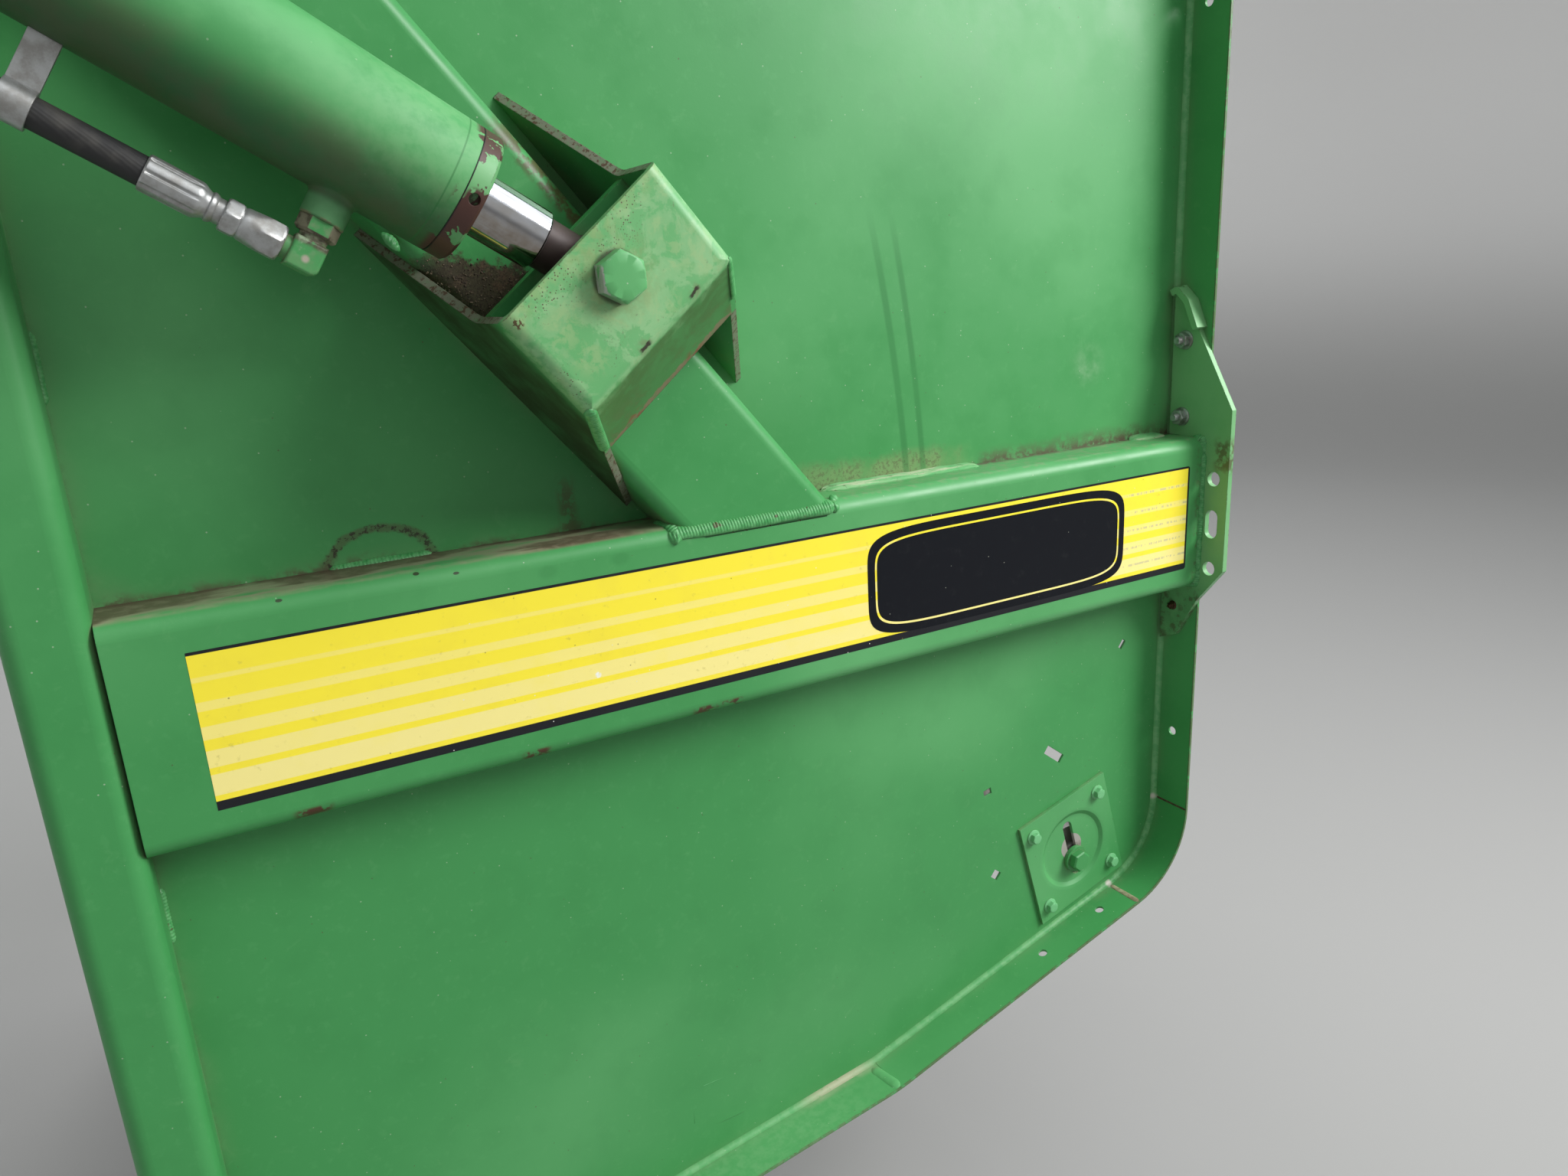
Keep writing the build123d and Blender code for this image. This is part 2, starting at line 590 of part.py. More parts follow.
def roll_plate():
    """Plate on the sheet with a dish pressed inwards and a slot for the roll's bolt."""
    plate = Rectangle(ROLL_PLATE_LENGTH, ROLL_PLATE_HEIGHT) - Circle(DISH_RADIUS)
    part = extrude(plate, ROLL_PLATE)
    floor = DISH_RADIUS - DISH_SLOPE
    section = Polyline((0, ROLL_PLATE - DISH_DEPTH), (floor, ROLL_PLATE - DISH_DEPTH),
                       (DISH_RADIUS, ROLL_PLATE), (DISH_RADIUS, 0), (floor, -DISH_DEPTH),
                       (0, -DISH_DEPTH), close=True)
    part += revolve(Plane.XZ * make_face(section), Axis.Z)
    slot = SlotOverall(ROLL_SLOT, ROLL_BOLT_DIA + 1, rotation=90)
    part -= Pos(0, 0, -2 * ROLL_PLATE) * extrude(slot, 4 * ROLL_PLATE)
    return Pos(ROLL_PLATE_X, ROLL_PLATE_Z) * Rot(0, 0, CORNER_SLOPE) * part


def roll_bolt():
    """Bolt and thick washer that clamp the lower rear roll's shaft to its slotted plate."""
    name, x, y, drum = ROLLS[0]
    floor = ROLL_PLATE - DISH_DEPTH
    head = Pos(0, 0, floor + ROLL_WASHER) * bolt_head(ROLL_BOLT_AF, ROLL_BOLT_HEAD)
    washer = Pos(0, 0, floor + ROLL_WASHER / 2) * Cylinder(ROLL_WASHER_DIA / 2, ROLL_WASHER)
    shank = Pos(0, 0, floor - ROLL_BOLT_LENGTH / 2) * Cylinder(ROLL_BOLT_DIA / 2, ROLL_BOLT_LENGTH)
    return Pos(x, y) * Rot(0, 0, CORNER_SLOPE) * (head + washer + shank)


def bearings():
    """Flanged housings that hold the fixed shafts of the other rolls."""
    profile = Polyline((SHAFT_DIA / 2 + SEAT_GAP, 0), (BEARING_RADIUS, 0),
                       (BEARING_RADIUS, BEARING_PLATE), (BEARING_HUB + BEARING_PLATE, BEARING_PLATE),
                       (BEARING_HUB, BEARING_HUB_OUT), (SHAFT_DIA / 2 + SEAT_GAP, BEARING_HUB_OUT),
                       close=True)
    housing = revolve(Plane.XZ * make_face(profile), Axis.Z)
    return Compound([Pos(x, y) * housing for name, x, y, drum in ROLLS[1:]])


def hinge_plate():
    """Plate around the hinge tube that tapers down to the front post."""
    foot = Pos((FRONT_X + FLANGE_START_X) / 2, -HINGE_PLATE_DROP + HINGE_PLATE) * Rectangle(
        POST_WIDTH, 2 * HINGE_PLATE)
    outline = make_hull(Circle(HINGE_PLATE_RADIUS).edges() + foot.edges())
    return extrude(outline - Circle(HINGE_TUBE_OD / 2 + SEAT_GAP), HINGE_PLATE)


def across_y(x, y, section, half):
    """Bar across the machine, from one side to the other."""
    plane = Plane(origin=(x, half, y), x_dir=(1, 0, 0), z_dir=(0, -1, 0))
    return extrude(plane * section, 2 * half)


def hinge_tube():
    half = HALF_OUT + HINGE_PLATE
    return across_y(0, 0, Circle(HINGE_TUBE_OD / 2) - Circle(HINGE_BORE / 2), half)


def cross_tube(x, y, width, height):
    section = RectangleRounded(width, height, 2 * TUBE_WALL)
    section -= Rectangle(width - 2 * TUBE_WALL, height - 2 * TUBE_WALL)
    return across_y(x, y, section, CHAMBER_WIDTH / 2)


def roll(x, y, drum):
    """Drum tube with a disc in each end that runs on the fixed shaft."""
    half = CHAMBER_WIDTH / 2 - ROLL_GAP
    shell = across_y(x, y, Circle(drum / 2) - Circle(drum / 2 - ROLL_WALL), half)
    disc = Circle(drum / 2 - ROLL_WALL / 2) - Circle(SHAFT_DIA / 2 + RUNNING)
    for side in (-1, 1):
        end = across_y(x, y, disc, ROLL_END / 2)
        shell += Pos(0, side * (half - ROLL_END / 2), 0) * end
    return shell


def shaft(name, x, y):
    """Fixed shaft: through the bearings, or for the adjusted roll held between the two plates."""
    if name != ROLLS[0][0]:
        return across_y(x, y, Circle(SHAFT_DIA / 2), HALF_OUT + SHAFT_OUT)
    bar = across_y(x, y, Circle(SHAFT_DIA / 2), HALF_OUT - DISH_DEPTH)
    bore = across_y(x, y, Circle(ROLL_BOLT_DIA / 2 + RUNNING), ROLL_BOLT_LENGTH)
    for side in (-1, 1):
        bar -= Pos(0, side * HALF_OUT, 0) * bore
    return bar


def main():
    os.makedirs("parts", exist_ok=True)
    pairs = [
        ("sheet", side_sheet), ("flange", flange), ("beam", side_beam), ("front_post", front_post),
        ("brace", brace), ("bracket", saddle), ("lug", lug), ("rod_pin", rod_pin), ("rod", rod),
        ("gland", gland), ("barrel", barrel), ("elbow", elbow), ("hose_fittings", hose_fittings),
        ("hose", hose), ("hose_clamps", hose_clamps), ("rear_plate", rear_plate),
        ("roll_plate", roll_plate), ("roll_bolt", roll_bolt), ("bearings", bearings),
        ("hinge_plate", hinge_plate),
    ]
    for name, make in pairs:
        write_pair(make(), name)
    write(hinge_tube(), "hinge_tube")
    for name, x, y, width, height in CROSS_TUBES:
        write(cross_tube(x, y, width, height), name)
    for name, x, y, drum in ROLLS:
        write(roll(x, y, drum), f"roll_{name}")
        write(shaft(name, x, y), f"shaft_{name}")


main()
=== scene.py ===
"""Looks of a round baler's tailgate with its two lift cylinders, in metres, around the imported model.

The origin is on the hinge axis, +X runs to the rear, +Y to the machine's right side and +Z up.
Pieces are worked out in side coordinates (x, out from the sheet's face, z), and `to_side`
carries them to the left side, and mirrored to the right.
"""
import math
from functools import partial, reduce

import bmesh
import bpy
import numpy as np
from mathutils import Matrix, Vector


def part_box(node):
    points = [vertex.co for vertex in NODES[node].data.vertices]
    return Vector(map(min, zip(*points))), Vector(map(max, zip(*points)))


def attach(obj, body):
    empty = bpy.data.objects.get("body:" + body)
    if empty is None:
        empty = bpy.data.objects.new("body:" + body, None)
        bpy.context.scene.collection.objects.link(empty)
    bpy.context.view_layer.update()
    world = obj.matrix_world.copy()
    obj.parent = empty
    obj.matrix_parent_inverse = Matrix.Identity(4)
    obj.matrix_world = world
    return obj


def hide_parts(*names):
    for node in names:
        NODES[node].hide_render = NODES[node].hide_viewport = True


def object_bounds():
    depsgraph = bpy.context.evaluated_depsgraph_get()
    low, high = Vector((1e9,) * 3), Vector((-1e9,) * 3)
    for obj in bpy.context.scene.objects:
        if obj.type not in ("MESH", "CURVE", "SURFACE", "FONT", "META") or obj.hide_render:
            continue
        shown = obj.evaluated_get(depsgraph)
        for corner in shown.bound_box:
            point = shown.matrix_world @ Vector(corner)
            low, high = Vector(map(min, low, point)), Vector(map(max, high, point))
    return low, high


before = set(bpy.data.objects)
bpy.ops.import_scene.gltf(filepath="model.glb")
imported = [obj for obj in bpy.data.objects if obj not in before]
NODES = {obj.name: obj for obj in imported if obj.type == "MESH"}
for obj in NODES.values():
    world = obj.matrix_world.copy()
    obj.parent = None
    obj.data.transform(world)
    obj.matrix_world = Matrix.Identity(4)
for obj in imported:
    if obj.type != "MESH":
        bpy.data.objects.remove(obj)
CAD_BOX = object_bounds()
SIDES = {"left": -1, "right": 1}

# Camera, from the photograph's perspective
PHOTO_WIDTH = 2048
FOCAL_PIXELS = 1420
SENSOR = 36.0
CAMERA_AT = (0.17673, -1.85175, -0.62976)
CAMERA_AZIMUTH = math.radians(60.513)
CAMERA_DOWN = math.radians(15.948)
CAMERA_ROLL = math.radians(-3.0255)

# Sheet, beam, flange, bracket and rod pin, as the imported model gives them
FACE = -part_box("sheet_left")[0].y
BEAM_LOW, BEAM_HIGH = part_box("beam_left")
BEAM_OUT = -BEAM_LOW.y - FACE
FLANGE_OUT = -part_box("flange_left")[0].y - FACE
REAR_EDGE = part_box("flange_left")[1].x
BRACKET_TOP = -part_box("bracket_left")[0].y - FACE
PIN_LOW, PIN_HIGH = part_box("rod_pin_left")
PIN = ((PIN_LOW.x + PIN_HIGH.x) / 2, (PIN_LOW.z + PIN_HIGH.z) / 2)

# Sizes that the solids have
PLATE = 0.0035
FILLET_RADIUS = 0.0065
LOWER_SLOPE = math.radians(15.5)
KNEE = (0.885, -1.692)
FRONT_KNEE = (0.420, -1.750)
CORNER_RADIUS = 0.132
BRACE_ANGLE = math.radians(-50.2)
BRACE_SIDES = (-0.090, 0.057)
LUG_FACE = 0.113
ROLL_PLATE_AT = (1.252, -1.4755)

# Cylinder: distances from its axis, or along it from the rod pin
ROD_AXIS_OUT = 0.155
ROD_ANGLE = math.radians(147.8)
NECK_END = 0.060
SPANNER_AT = (0.1285, 0.0092, 0.0525)
BARREL_START = 0.1375
BARREL_END = 0.645
BASE_EYE = 0.700
BARREL_RADIUS = 0.053
PORT_AT = 0.210
BASE_PORT_AT = 0.606
PORT_TOP = 0.073
PIN_BORE = 0.01275
ELBOW_REACH = 0.017
HOSE_OUT = 0.1015
HOSE_LENGTH = 0.340

# Stripe on the beam, and the black panel on it
STRIPE_TOP = -0.9065
STRIPE_LOW = -1.052
STRIPE_REAR = 1.391
STRIPE_FRONT = 0.165
STRIPE_CORNER = 0.004
PANEL_AT = (1.0605, -0.9795)
PANEL_HALF = (0.2065, 0.0655)

# Marks on the sheet, by x and z: the arc over a weld with its half length and height, drips as a
# start, a lean, a bend and a width, a rusty streak, a pale blotch and the oval of a painted shadow
ARC = (0.3415, 0.050, 0.034)
DRIPS = ((0.9419, -0.156, -0.239, 0.0050), (0.9692, -0.143, -0.216, 0.0040))
DRIPS_Z = -0.70
STREAK_X = 0.530
BLOTCH = (1.2605, 0.0, -0.7608)
SHADOW_OVAL = (0.62, -0.86, 0.30, 0.30)

# Marks on the beam and its stripe: nicks and damp spots by x and z, rust by x and half length
BEAM_NICKS = ((0.2430, -0.8765), (0.3950, -0.8790), (0.3600, -0.8742), (0.6400, -0.8775),
              (0.7050, -0.8830))
DAMP_SPOTS = ((0.481, -0.893), (0.557, -0.893))
BEAM_RUST = ((0.24, 0.010), (0.45, 0.008), (0.655, 0.024))
DROP_AT = (0.521, BEAM_OUT, -1.0085)

# Marks on the flange and the rear plate, by x and z: bare ends of the seams, and ovals with
# their half length and height
FLANGE_SPOTS = ((1.4260, -1.4405), (1.3305, -1.5640))
FILLET_SPOTS = ((1.4225, -1.4405), (1.3315, -1.5620))
RUBBED_FLANGE = (0.825, -1.70, 0.075, 0.05)
RUBBED_FILLET = (0.825, -1.70, 0.080, 0.05)
FILM_OVAL = (0.70, -1.73, 0.25, 0.10)
STAIN_OVAL = (1.4225, -0.893, 0.05, 0.030)

# Marks on the bracket, along the brace from the pin and across it; a smear has a radius too
FACE_SMEARS = ((0.022, 0.062, 0.030), (0.048, 0.070, 0.020), (-0.001, 0.053, 0.016),
               (-0.023, -0.009, 0.022), (-0.004, -0.064, 0.030), (0.028, -0.063, 0.024),
               (0.045, 0.020, 0.018))
TEARS = ((0.0575, -0.0214), (0.0560, 0.0433))
HOOK = (-0.0317, -0.0878)
PLATE_RUST = ((0.1165, -0.053), (0.1165, 0.031))
SOIL_SLOPE = 0.83

# Light
SKY_BELOW, SKY_LEVEL, SKY_TOP = 0.08, 0.24, 1.12
SKY_LEAN, SKY_SIDE = (0.90, -0.20, 0.0), 0.80
SKY_COLOUR = (0.95, 0.98, 1.0, 1.0)
KEY_LIGHT = {"at": (3.4, -2.9, 1.1), "target": (0.85, -0.8, -0.6), "size": 2.0, "power": 175}
FAR_LIGHT = {"at": (1.0, 4.0, 2.2), "target": (0.7, 0.8, -0.8), "size": 2.6, "power": 110}
WALL_GLOW = 0.15
FLOOR_Z = CAD_BOX[0].z - 0.35


# Shapes

def to_side(points, side):
    """Side coordinates (x, out, z) to the tailgate's own: y is the side's sign times face plus out."""
    return np.stack([points[..., 0], side * (FACE + points[..., 1]), points[..., 2]], axis=-1)


def circle(steps, share=1.0, closed=False):
    """Even angles round a share of a full turn."""
    return np.linspace(0, 2 * np.pi * share, steps, endpoint=closed)


def grid_faces(rows, columns, round_rows=False, round_columns=False):
    """Quads of a grid of points, as an array of four indices each."""
    row = np.arange(rows if round_rows else rows - 1)
    column = np.arange(columns if round_columns else columns - 1)
    row, column = np.meshgrid(row, column, indexing="ij")
    below, beside = (row + 1) % rows, (column + 1) % columns
    quads = [row * columns + column, row * columns + beside, below * columns + beside,
             below * columns + column]
    return np.stack(quads, axis=-1).reshape(-1, 4)


def joined(grids, around):
    """All points and quads of some grids; one that closes otherwise is a pair with its own rounds.

    A grid may be a stack of many small ones.
    """
    points, faces, start = [], [], 0
    for grid in grids:
        grid, rounds = grid if isinstance(grid, tuple) else (grid, around)
        rows, columns = grid.shape[-3:-1]
        copies = grid.size // (rows * columns * 3)
        places = start + rows * columns * np.arange(copies)
        points.append(grid.reshape(-1, 3))
        faces.append((grid_faces(rows, columns, *rounds)[None] + places[:, None, None]).reshape(-1, 4))
        start += copies * rows * columns
    return np.concatenate(points), np.concatenate(faces)


def piece(name, grids, finish, body="gate", replaces=None, around=(False, True),
          sharp=0.6, open_towards=None):
    """A mesh on the left side and its mirror image on the right, from grids in side coordinates.

    Doubles are merged and a closed mesh gets its faces turned outwards. An open one is turned
    towards the given direction. Edges that turn by more than the sharp angle stay sharp. Body
    and replaced node are the side's own, apart from the gate.
    """
    points, faces = joined(grids, around)
    for side_name, side in SIDES.items():
        mesh = bpy.data.meshes.new(f"{name}_{side_name}")
        mesh.from_pydata(to_side(points, side).tolist(), [], faces.tolist())
        work = bmesh.new()
        work.from_mesh(mesh)
        bmesh.ops.remove_doubles(work, verts=work.verts, dist=1e-6)
        bmesh.ops.dissolve_degenerate(work, edges=work.edges, dist=1e-7)
        bmesh.ops.recalc_face_normals(work, faces=work.faces)
        if open_towards is not None:
            x, out, z = open_towards
            total = sum((face.normal * face.calc_area() for face in work.faces), Vector())
            if total.dot(Vector((x, side * out, z))) < 0:
                bmesh.ops.reverse_faces(work, faces=work.faces)
        work.to_mesh(mesh)
        work.free()
        mesh.polygons.foreach_set("use_smooth", np.full(len(mesh.polygons), True))
        if sharp is not None:
            mesh.set_sharp_from_angle(angle=sharp)
        mesh.materials.append(finish)
        made = bpy.data.objects.new(mesh.name, mesh)
        bpy.context.scene.collection.objects.link(made)
        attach(made, body if body == "gate" else f"{body}_{side_name}")
        if replaces:
            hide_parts(f"{replaces}_{side_name}")


def rings(radius, height, turn):
    """Points round the z axis: a radius for each row and angle, at the row's height."""
    height = np.broadcast_to(np.asarray(height)[:, None], radius.shape)
    return np.stack([radius * np.cos(turn), radius * np.sin(turn), height], axis=-1)


def turned(profile, steps=48):
    """Surface of revolution: each (radius, height) of the profile carried round the z axis."""
    radius, height = np.asarray(profile, float).T
    return rings(np.tile(radius[:, None], steps), height, circle(steps))


def hexagon_radius(turn, across_flats):
    """Distance from the centre to a hexagon's edge: half its flats over the cosine of the turn
    from the nearest flat's middle."""
    step = np.pi / 3
    return across_flats / 2 / np.cos((turn + step / 2) % step - step / 2)


def hexagon_head(across_flats, height, skirt=0.0, skirt_height=0.0, steps=72):
    """Bolt head: at each height the lesser of the hexagon and a chamfer cone, over a round skirt."""
    turn = circle(steps)
    flats = hexagon_radius(turn, across_flats)
    corner, top = across_flats / 2 / math.cos(math.pi / 6), across_flats / 2 * 0.94
    drop = corner - top
    round_rows = [(0, 0)]
    if skirt:
        round_rows += [(0, skirt), (skirt_height * 0.45, skirt), (skirt_height, corner * 1.02)]
    cone_rows = [(skirt_height, 2 * corner), (height - drop * 0.62, 2 * corner),
                 (height - drop * 0.60, corner), (height - drop * 0.3, corner - drop * 0.55),
                 (height, top), (height, across_flats / 4), (height, 0)]
    radius = [np.full(steps, r) for _, r in round_rows] + [np.minimum(flats, r) for _, r in cone_rows]
    return rings(np.array(radius), [z for z, _ in round_rows + cone_rows], turn)


def limited_hexagon(flats, heights, limits, steps=96):
    """Hexagonal bar whose radius stays under a limit at each height, closed at both ends."""
    turn = circle(steps)
    radius = np.minimum(hexagon_radius(turn, flats)[None], np.asarray(limits)[:, None])
    radius = np.concatenate([np.zeros((1, steps)), radius, np.zeros((1, steps))])
    return rings(radius, np.concatenate([heights[:1], heights, heights[-1:]]), turn)


def seated(points, x, z, out, turn=0.0):
    """Points about their own z axis moved onto a side's face: z becomes out, turned in its plane."""
    c, s = math.cos(turn), math.sin(turn)
    px, py, pz = points[..., 0], points[..., 1], points[..., 2]
    return np.stack([x + c * px - s * py, out + pz, z + s * px + c * py], axis=-1)


def resampled(path, step):
    """Points at even steps along a path of straight runs."""
    path = np.asarray(path, float)
    run = np.linalg.norm(np.diff(path, axis=0), axis=1)
    reach = np.concatenate([[0], np.cumsum(run)])
    places = np.linspace(0, reach[-1], max(int(reach[-1] / step), 4))
    return np.stack([np.interp(places, reach, path[:, k]) for k in range(3)], -1), places


def bead(path, facing, width, height, seed=1, pitch=0.0035, fullness=1.0, ripples=0.17):
    """Weld bead: a half ellipse carried along the path, swollen by ripples that bow backwards.

    The ripple is a sine of the distance along plus a share of the squared place across, and the
    width wanders by a slow sum of sines. Both ends taper by the root of the distance to them.
    A fullness under one, as a power of the half ellipse's height, flattens its top.
    """
    points, places = resampled(path, pitch / 5)
    facing = np.asarray(facing, float)
    facing = facing / np.linalg.norm(facing)
    along = np.gradient(points, axis=0)
    along /= np.linalg.norm(along, axis=1)[:, None]
    across = np.cross(along, facing)
    across /= np.linalg.norm(across, axis=1)[:, None]
    rng = np.random.default_rng(seed)
    slow = sum(np.sin(places / w + rng.uniform(0, 6.28)) for w in (0.011, 0.019, 0.037)) / 3
    ends = np.sqrt(np.clip(np.minimum(places, places[-1] - places) / (width * 0.6), 0, 1))
    turn = np.linspace(0, np.pi, 13)
    bow = np.cos(turn) ** 2 * 0.6
    ripple = np.sin(2 * np.pi * (places[:, None] / pitch - bow[None])) * 0.5 + 0.5
    swell = (1 + 0.13 * slow[:, None]) * np.maximum(ends, 0.05)[:, None]
    sideways = np.cos(turn)[None] * width / 2 * swell
    rise = np.clip(np.sin(turn), 0, 1) ** fullness
    upward = rise[None] * height * swell * (1 - ripples * ripple) - height * 0.18
    return (points[:, None] + across[:, None] * sideways[..., None]
            + facing * upward[..., None])


# Places on the bracket and the cylinder

def brace_point(along, across, out):
    """Side coordinates of a place measured down the brace from the rod pin, across it and out."""
    c, s = math.cos(BRACE_ANGLE), math.sin(BRACE_ANGLE)
    return (PIN[0] + c * along - s * across, out, PIN[1] + s * along + c * across)


def rod_point(along, across, out):
    """Side coordinates of a place along the cylinder from the rod pin, across it and out of it."""
    c, s = math.cos(ROD_ANGLE), math.sin(ROD_ANGLE)
    return (PIN[0] + c * along - s * across, ROD_AXIS_OUT + out, PIN[1] + s * along + c * across)


def on_cylinder(points, along=0.0, across=0.0):
    """Points about their own z axis carried onto the cylinder's axis, where z becomes the
    distance along, x the one across and y the one out."""
    places = rod_point(along + points[..., 2], across + points[..., 0], points[..., 1])
    return np.stack(np.broadcast_arrays(*places), axis=-1)


def eye(radius, width, along):
    """Ring about an axis that points outwards, a bevelled section turned round it, closed both ways."""
    half, edge = width / 2, 0.0012
    section = [(PIN_BORE, -half), (radius - edge, -half), (radius, edge - half),
               (radius, half - edge), (radius - edge, half), (PIN_BORE, half)]
    ring = turned(section, 96)
    local = np.stack([ring[..., 1], ring[..., 2], ring[..., 0]], axis=-1)
    return on_cylinder(local, along), (True, True)


# Finishes

class Finish:
    """One finish. Its patterns read the piece's own coordinates, in metres."""

    def __init__(self, name, metallic=0.0, specular=0.5):
        self.material = bpy.data.materials.new(name)
        self.material.use_nodes = True
        self.tree = self.material.node_tree
        self.shader = self.tree.nodes["Principled BSDF"]
        self.shader.inputs["Metallic"].default_value = metallic
        self.shader.inputs["Specular IOR Level"].default_value = specular
        self.place = self.add("TexCoord").outputs["Object"]
        self.x, self.y, self.z = self.add("SeparateXYZ", {0: self.place}).outputs
        self.out = self.minus(self.calc("ABSOLUTE", self.y), FACE)
        self.side_place = self.add("CombineXYZ", {0: self.x, 1: self.out, 2: self.z}).outputs[0]
        self.normal = self.add("NewGeometry").outputs["Normal"]

    def add(self, kind, inputs=(), **settings):
        """A node with its settings; each input is a value or another node's output."""
        made = self.tree.nodes.new("ShaderNode" + kind)
        for key, value in settings.items():
            setattr(made, key, value)
        for key, value in dict(inputs).items():
            if isinstance(value, bpy.types.NodeSocket):
                self.tree.links.new(value, made.inputs[key])
            elif isinstance(value, tuple) and made.inputs[key].type == "RGBA":
                made.inputs[key].default_value = (*value, 1.0)
            else:
                made.inputs[key].default_value = value
        return made

    def calc(self, operation, a, b=0.0):
        return self.add("Math", {0: a, 1: b}, operation=operation).outputs[0]

    def vectors(self, operation, a, b):
        return self.add("VectorMath", {0: a, 1: b}, operation=operation).outputs["Value"]

    def plus(self, a, b):
        return self.calc("ADD", a, b)

    def minus(self, a, b):
        return self.calc("SUBTRACT", a, b)

    def times(self, *values):
        return reduce(partial(self.calc, "MULTIPLY"), values)

    def most(self, *values):
        return reduce(partial(self.calc, "MAXIMUM"), values)

    def rise(self, value, low, high, start=0.0, end=1.0):
        """Smooth step from start to end as the value goes from low to high."""
        names = {"Value": value, "From Min": low, "From Max": high, "To Min": start, "To Max": end}
        return self.add("MapRange", names, interpolation_type="SMOOTHSTEP").outputs[0]

    def band(self, value, low, high, soft):
        """One between low and high, falling to nought over the soft width outside them."""
        return self.times(self.rise(value, low - soft, low), self.rise(value, high, high + soft, 1, 0))

    def apart(self, value, middle):
        """How far a value lies from a middle, either way."""
        return self.calc("ABSOLUTE", self.minus(value, middle))

    def stirred(self, value, pattern, amount):
        """A value moved to and fro by a noise's distance from its middle."""
        return self.plus(value, self.times(self.minus(pattern, 0.5), amount))

    def stretched(self, scale):
        return self.add("Mapping", {"Vector": self.place, "Scale": scale}).outputs[0]

    def noise(self, scale, detail=3.0, roughness=0.5, at=None, distortion=0.0):
        names = {"Vector": at or self.place, "Scale": scale, "Detail": detail,
                 "Roughness": roughness, "Distortion": distortion}
        return self.add("TexNoise", names).outputs[0]

    def specks(self, scale, share, size):
        """Small round spots in a share of random cells."""
        cells = self.add("TexVoronoi", {"Vector": self.place, "Scale": scale})
        split = self.add("SeparateColor", {0: cells.outputs["Color"]})
        chosen = self.rise(split.outputs[0], share, share * 0.96)
        return self.times(self.rise(cells.outputs["Distance"], size, size * 0.6), chosen)

    def near(self, spot, inner, outer):
        """One within the inner distance of a place on either side, nought beyond the outer one."""
        away = self.vectors("DISTANCE", self.side_place, tuple(float(v) for v in spot))
        return self.rise(away, inner, outer, 1, 0)

    def oval(self, x, z, half_length, half_height):
        """Distance from a place in the sheet's plane, in shares of an oval's half axes."""
        across = self.times(self.minus(self.x, x), 1 / half_length)
        up = self.times(self.minus(self.z, z), 1 / half_height)
        return self.calc("SQRT", self.plus(self.times(across, across), self.times(up, up)))

    def patch(self, x, z, half_length, half_height, inner=0.4):
        """One within the inner share of an oval, falling to nought at its rim."""
        return self.rise(self.oval(x, z, half_length, half_height), 1.0, inner)

    def facing(self, direction, low, high):
        """One where the normal lies near a direction, whose y counts outwards on each side."""
        nx, ny, nz = self.add("SeparateXYZ", {0: self.normal}).outputs
        outwards = self.times(ny, self.calc("SIGN", self.y))
        turned_normal = self.add("CombineXYZ", {0: nx, 1: outwards, 2: nz}).outputs[0]
        return self.rise(self.vectors("DOT_PRODUCT", turned_normal, direction), low, high)

    def from_pin(self, angle):
        """Distances from the rod pin along a direction in the sheet's plane, and across it."""
        both = []
        for turn in (angle, angle + math.pi / 2):
            c, s = math.cos(turn), math.sin(turn)
            reach = self.vectors("DOT_PRODUCT", self.place, (c, 0.0, s))
            both.append(self.minus(reach, PIN[0] * c + PIN[1] * s))
        return both

    def edge(self, radius):
        """Nearness to a sharp edge, from how far a rounded normal leaves the true one."""
        return self.rise(self.vectors("DOT_PRODUCT", self.rounded(radius), self.normal), 0.93, 0.75)

    def crevice(self, distance, low=0.75, high=0.3):
        """Nearness to a corner where pieces meet."""
        found = self.add("AmbientOcclusion", {"Distance": distance}, samples=6)
        return self.rise(found.outputs["AO"], low, high)

    def tint(self, share, a, b):
        return self.add("Mix", {0: share, 6: a, 7: b}, data_type="RGBA").outputs[2]

    def layered(self, colour, layers):
        """The colour under layers of (colour, share, share ...), whose shares are multiplied."""
        for shade, *shares in layers:
            colour = self.tint(self.times(*shares), colour, shade)
        return colour

    def bump(self, height, distance, normal=None):
        names = {"Height": height, "Distance": distance}
        if normal is not None:
            names["Normal"] = normal
        return self.add("Bump", names).outputs[0]

    def rounded(self, radius):
        return self.add("Bevel", {"Radius": radius}, samples=4).outputs[0]

    def done(self, colour, roughness, normal=None):
        for key, value in {"Base Color": colour, "Roughness": roughness, "Normal": normal}.items():
            if isinstance(value, bpy.types.NodeSocket):
                self.tree.links.new(value, self.shader.inputs[key])
            elif value is not None:
                self.shader.inputs[key].default_value = value
        return self.material


GREEN = (0.052, 0.275, 0.078)
GREEN_FADED = (0.110, 0.375, 0.135)
GREEN_DEEP = (0.020, 0.150, 0.036)
GREEN_PALE = (0.190, 0.430, 0.190)
OLIVE = (0.300, 0.400, 0.165)
MOSS = (0.22, 0.29, 0.12)
DUST = (0.30, 0.27, 0.18)
DUST_PALE = (0.42, 0.42, 0.28)
SOIL = (0.090, 0.062, 0.038)
SOIL_DARK = (0.030, 0.021, 0.015)
SOIL_CAKED = (0.062, 0.040, 0.026)
SOIL_LUMP = (0.105, 0.068, 0.042)
STRAW = (0.20, 0.17, 0.10)
RUST = (0.085, 0.033, 0.017)
RUST_BRIGHT = (0.20, 0.075, 0.040)
RUST_PALE = (0.21, 0.145, 0.095)
PRIMER = (0.070, 0.031, 0.024)
SPECK_PALE = (0.55, 0.60, 0.48)
# Painted shade of the closed chamber, on the sheet's worn inner face
INNER_FACE_SHADE_AND_WEAR = (0.055, 0.050, 0.042)
CUT_STEEL = (0.185, 0.200, 0.140)
BARE_STEEL = (0.42, 0.42, 0.38)
BARE_SPOT = (0.50, 0.48, 0.41)
WASHER_STEEL = (0.34, 0.32, 0.29)
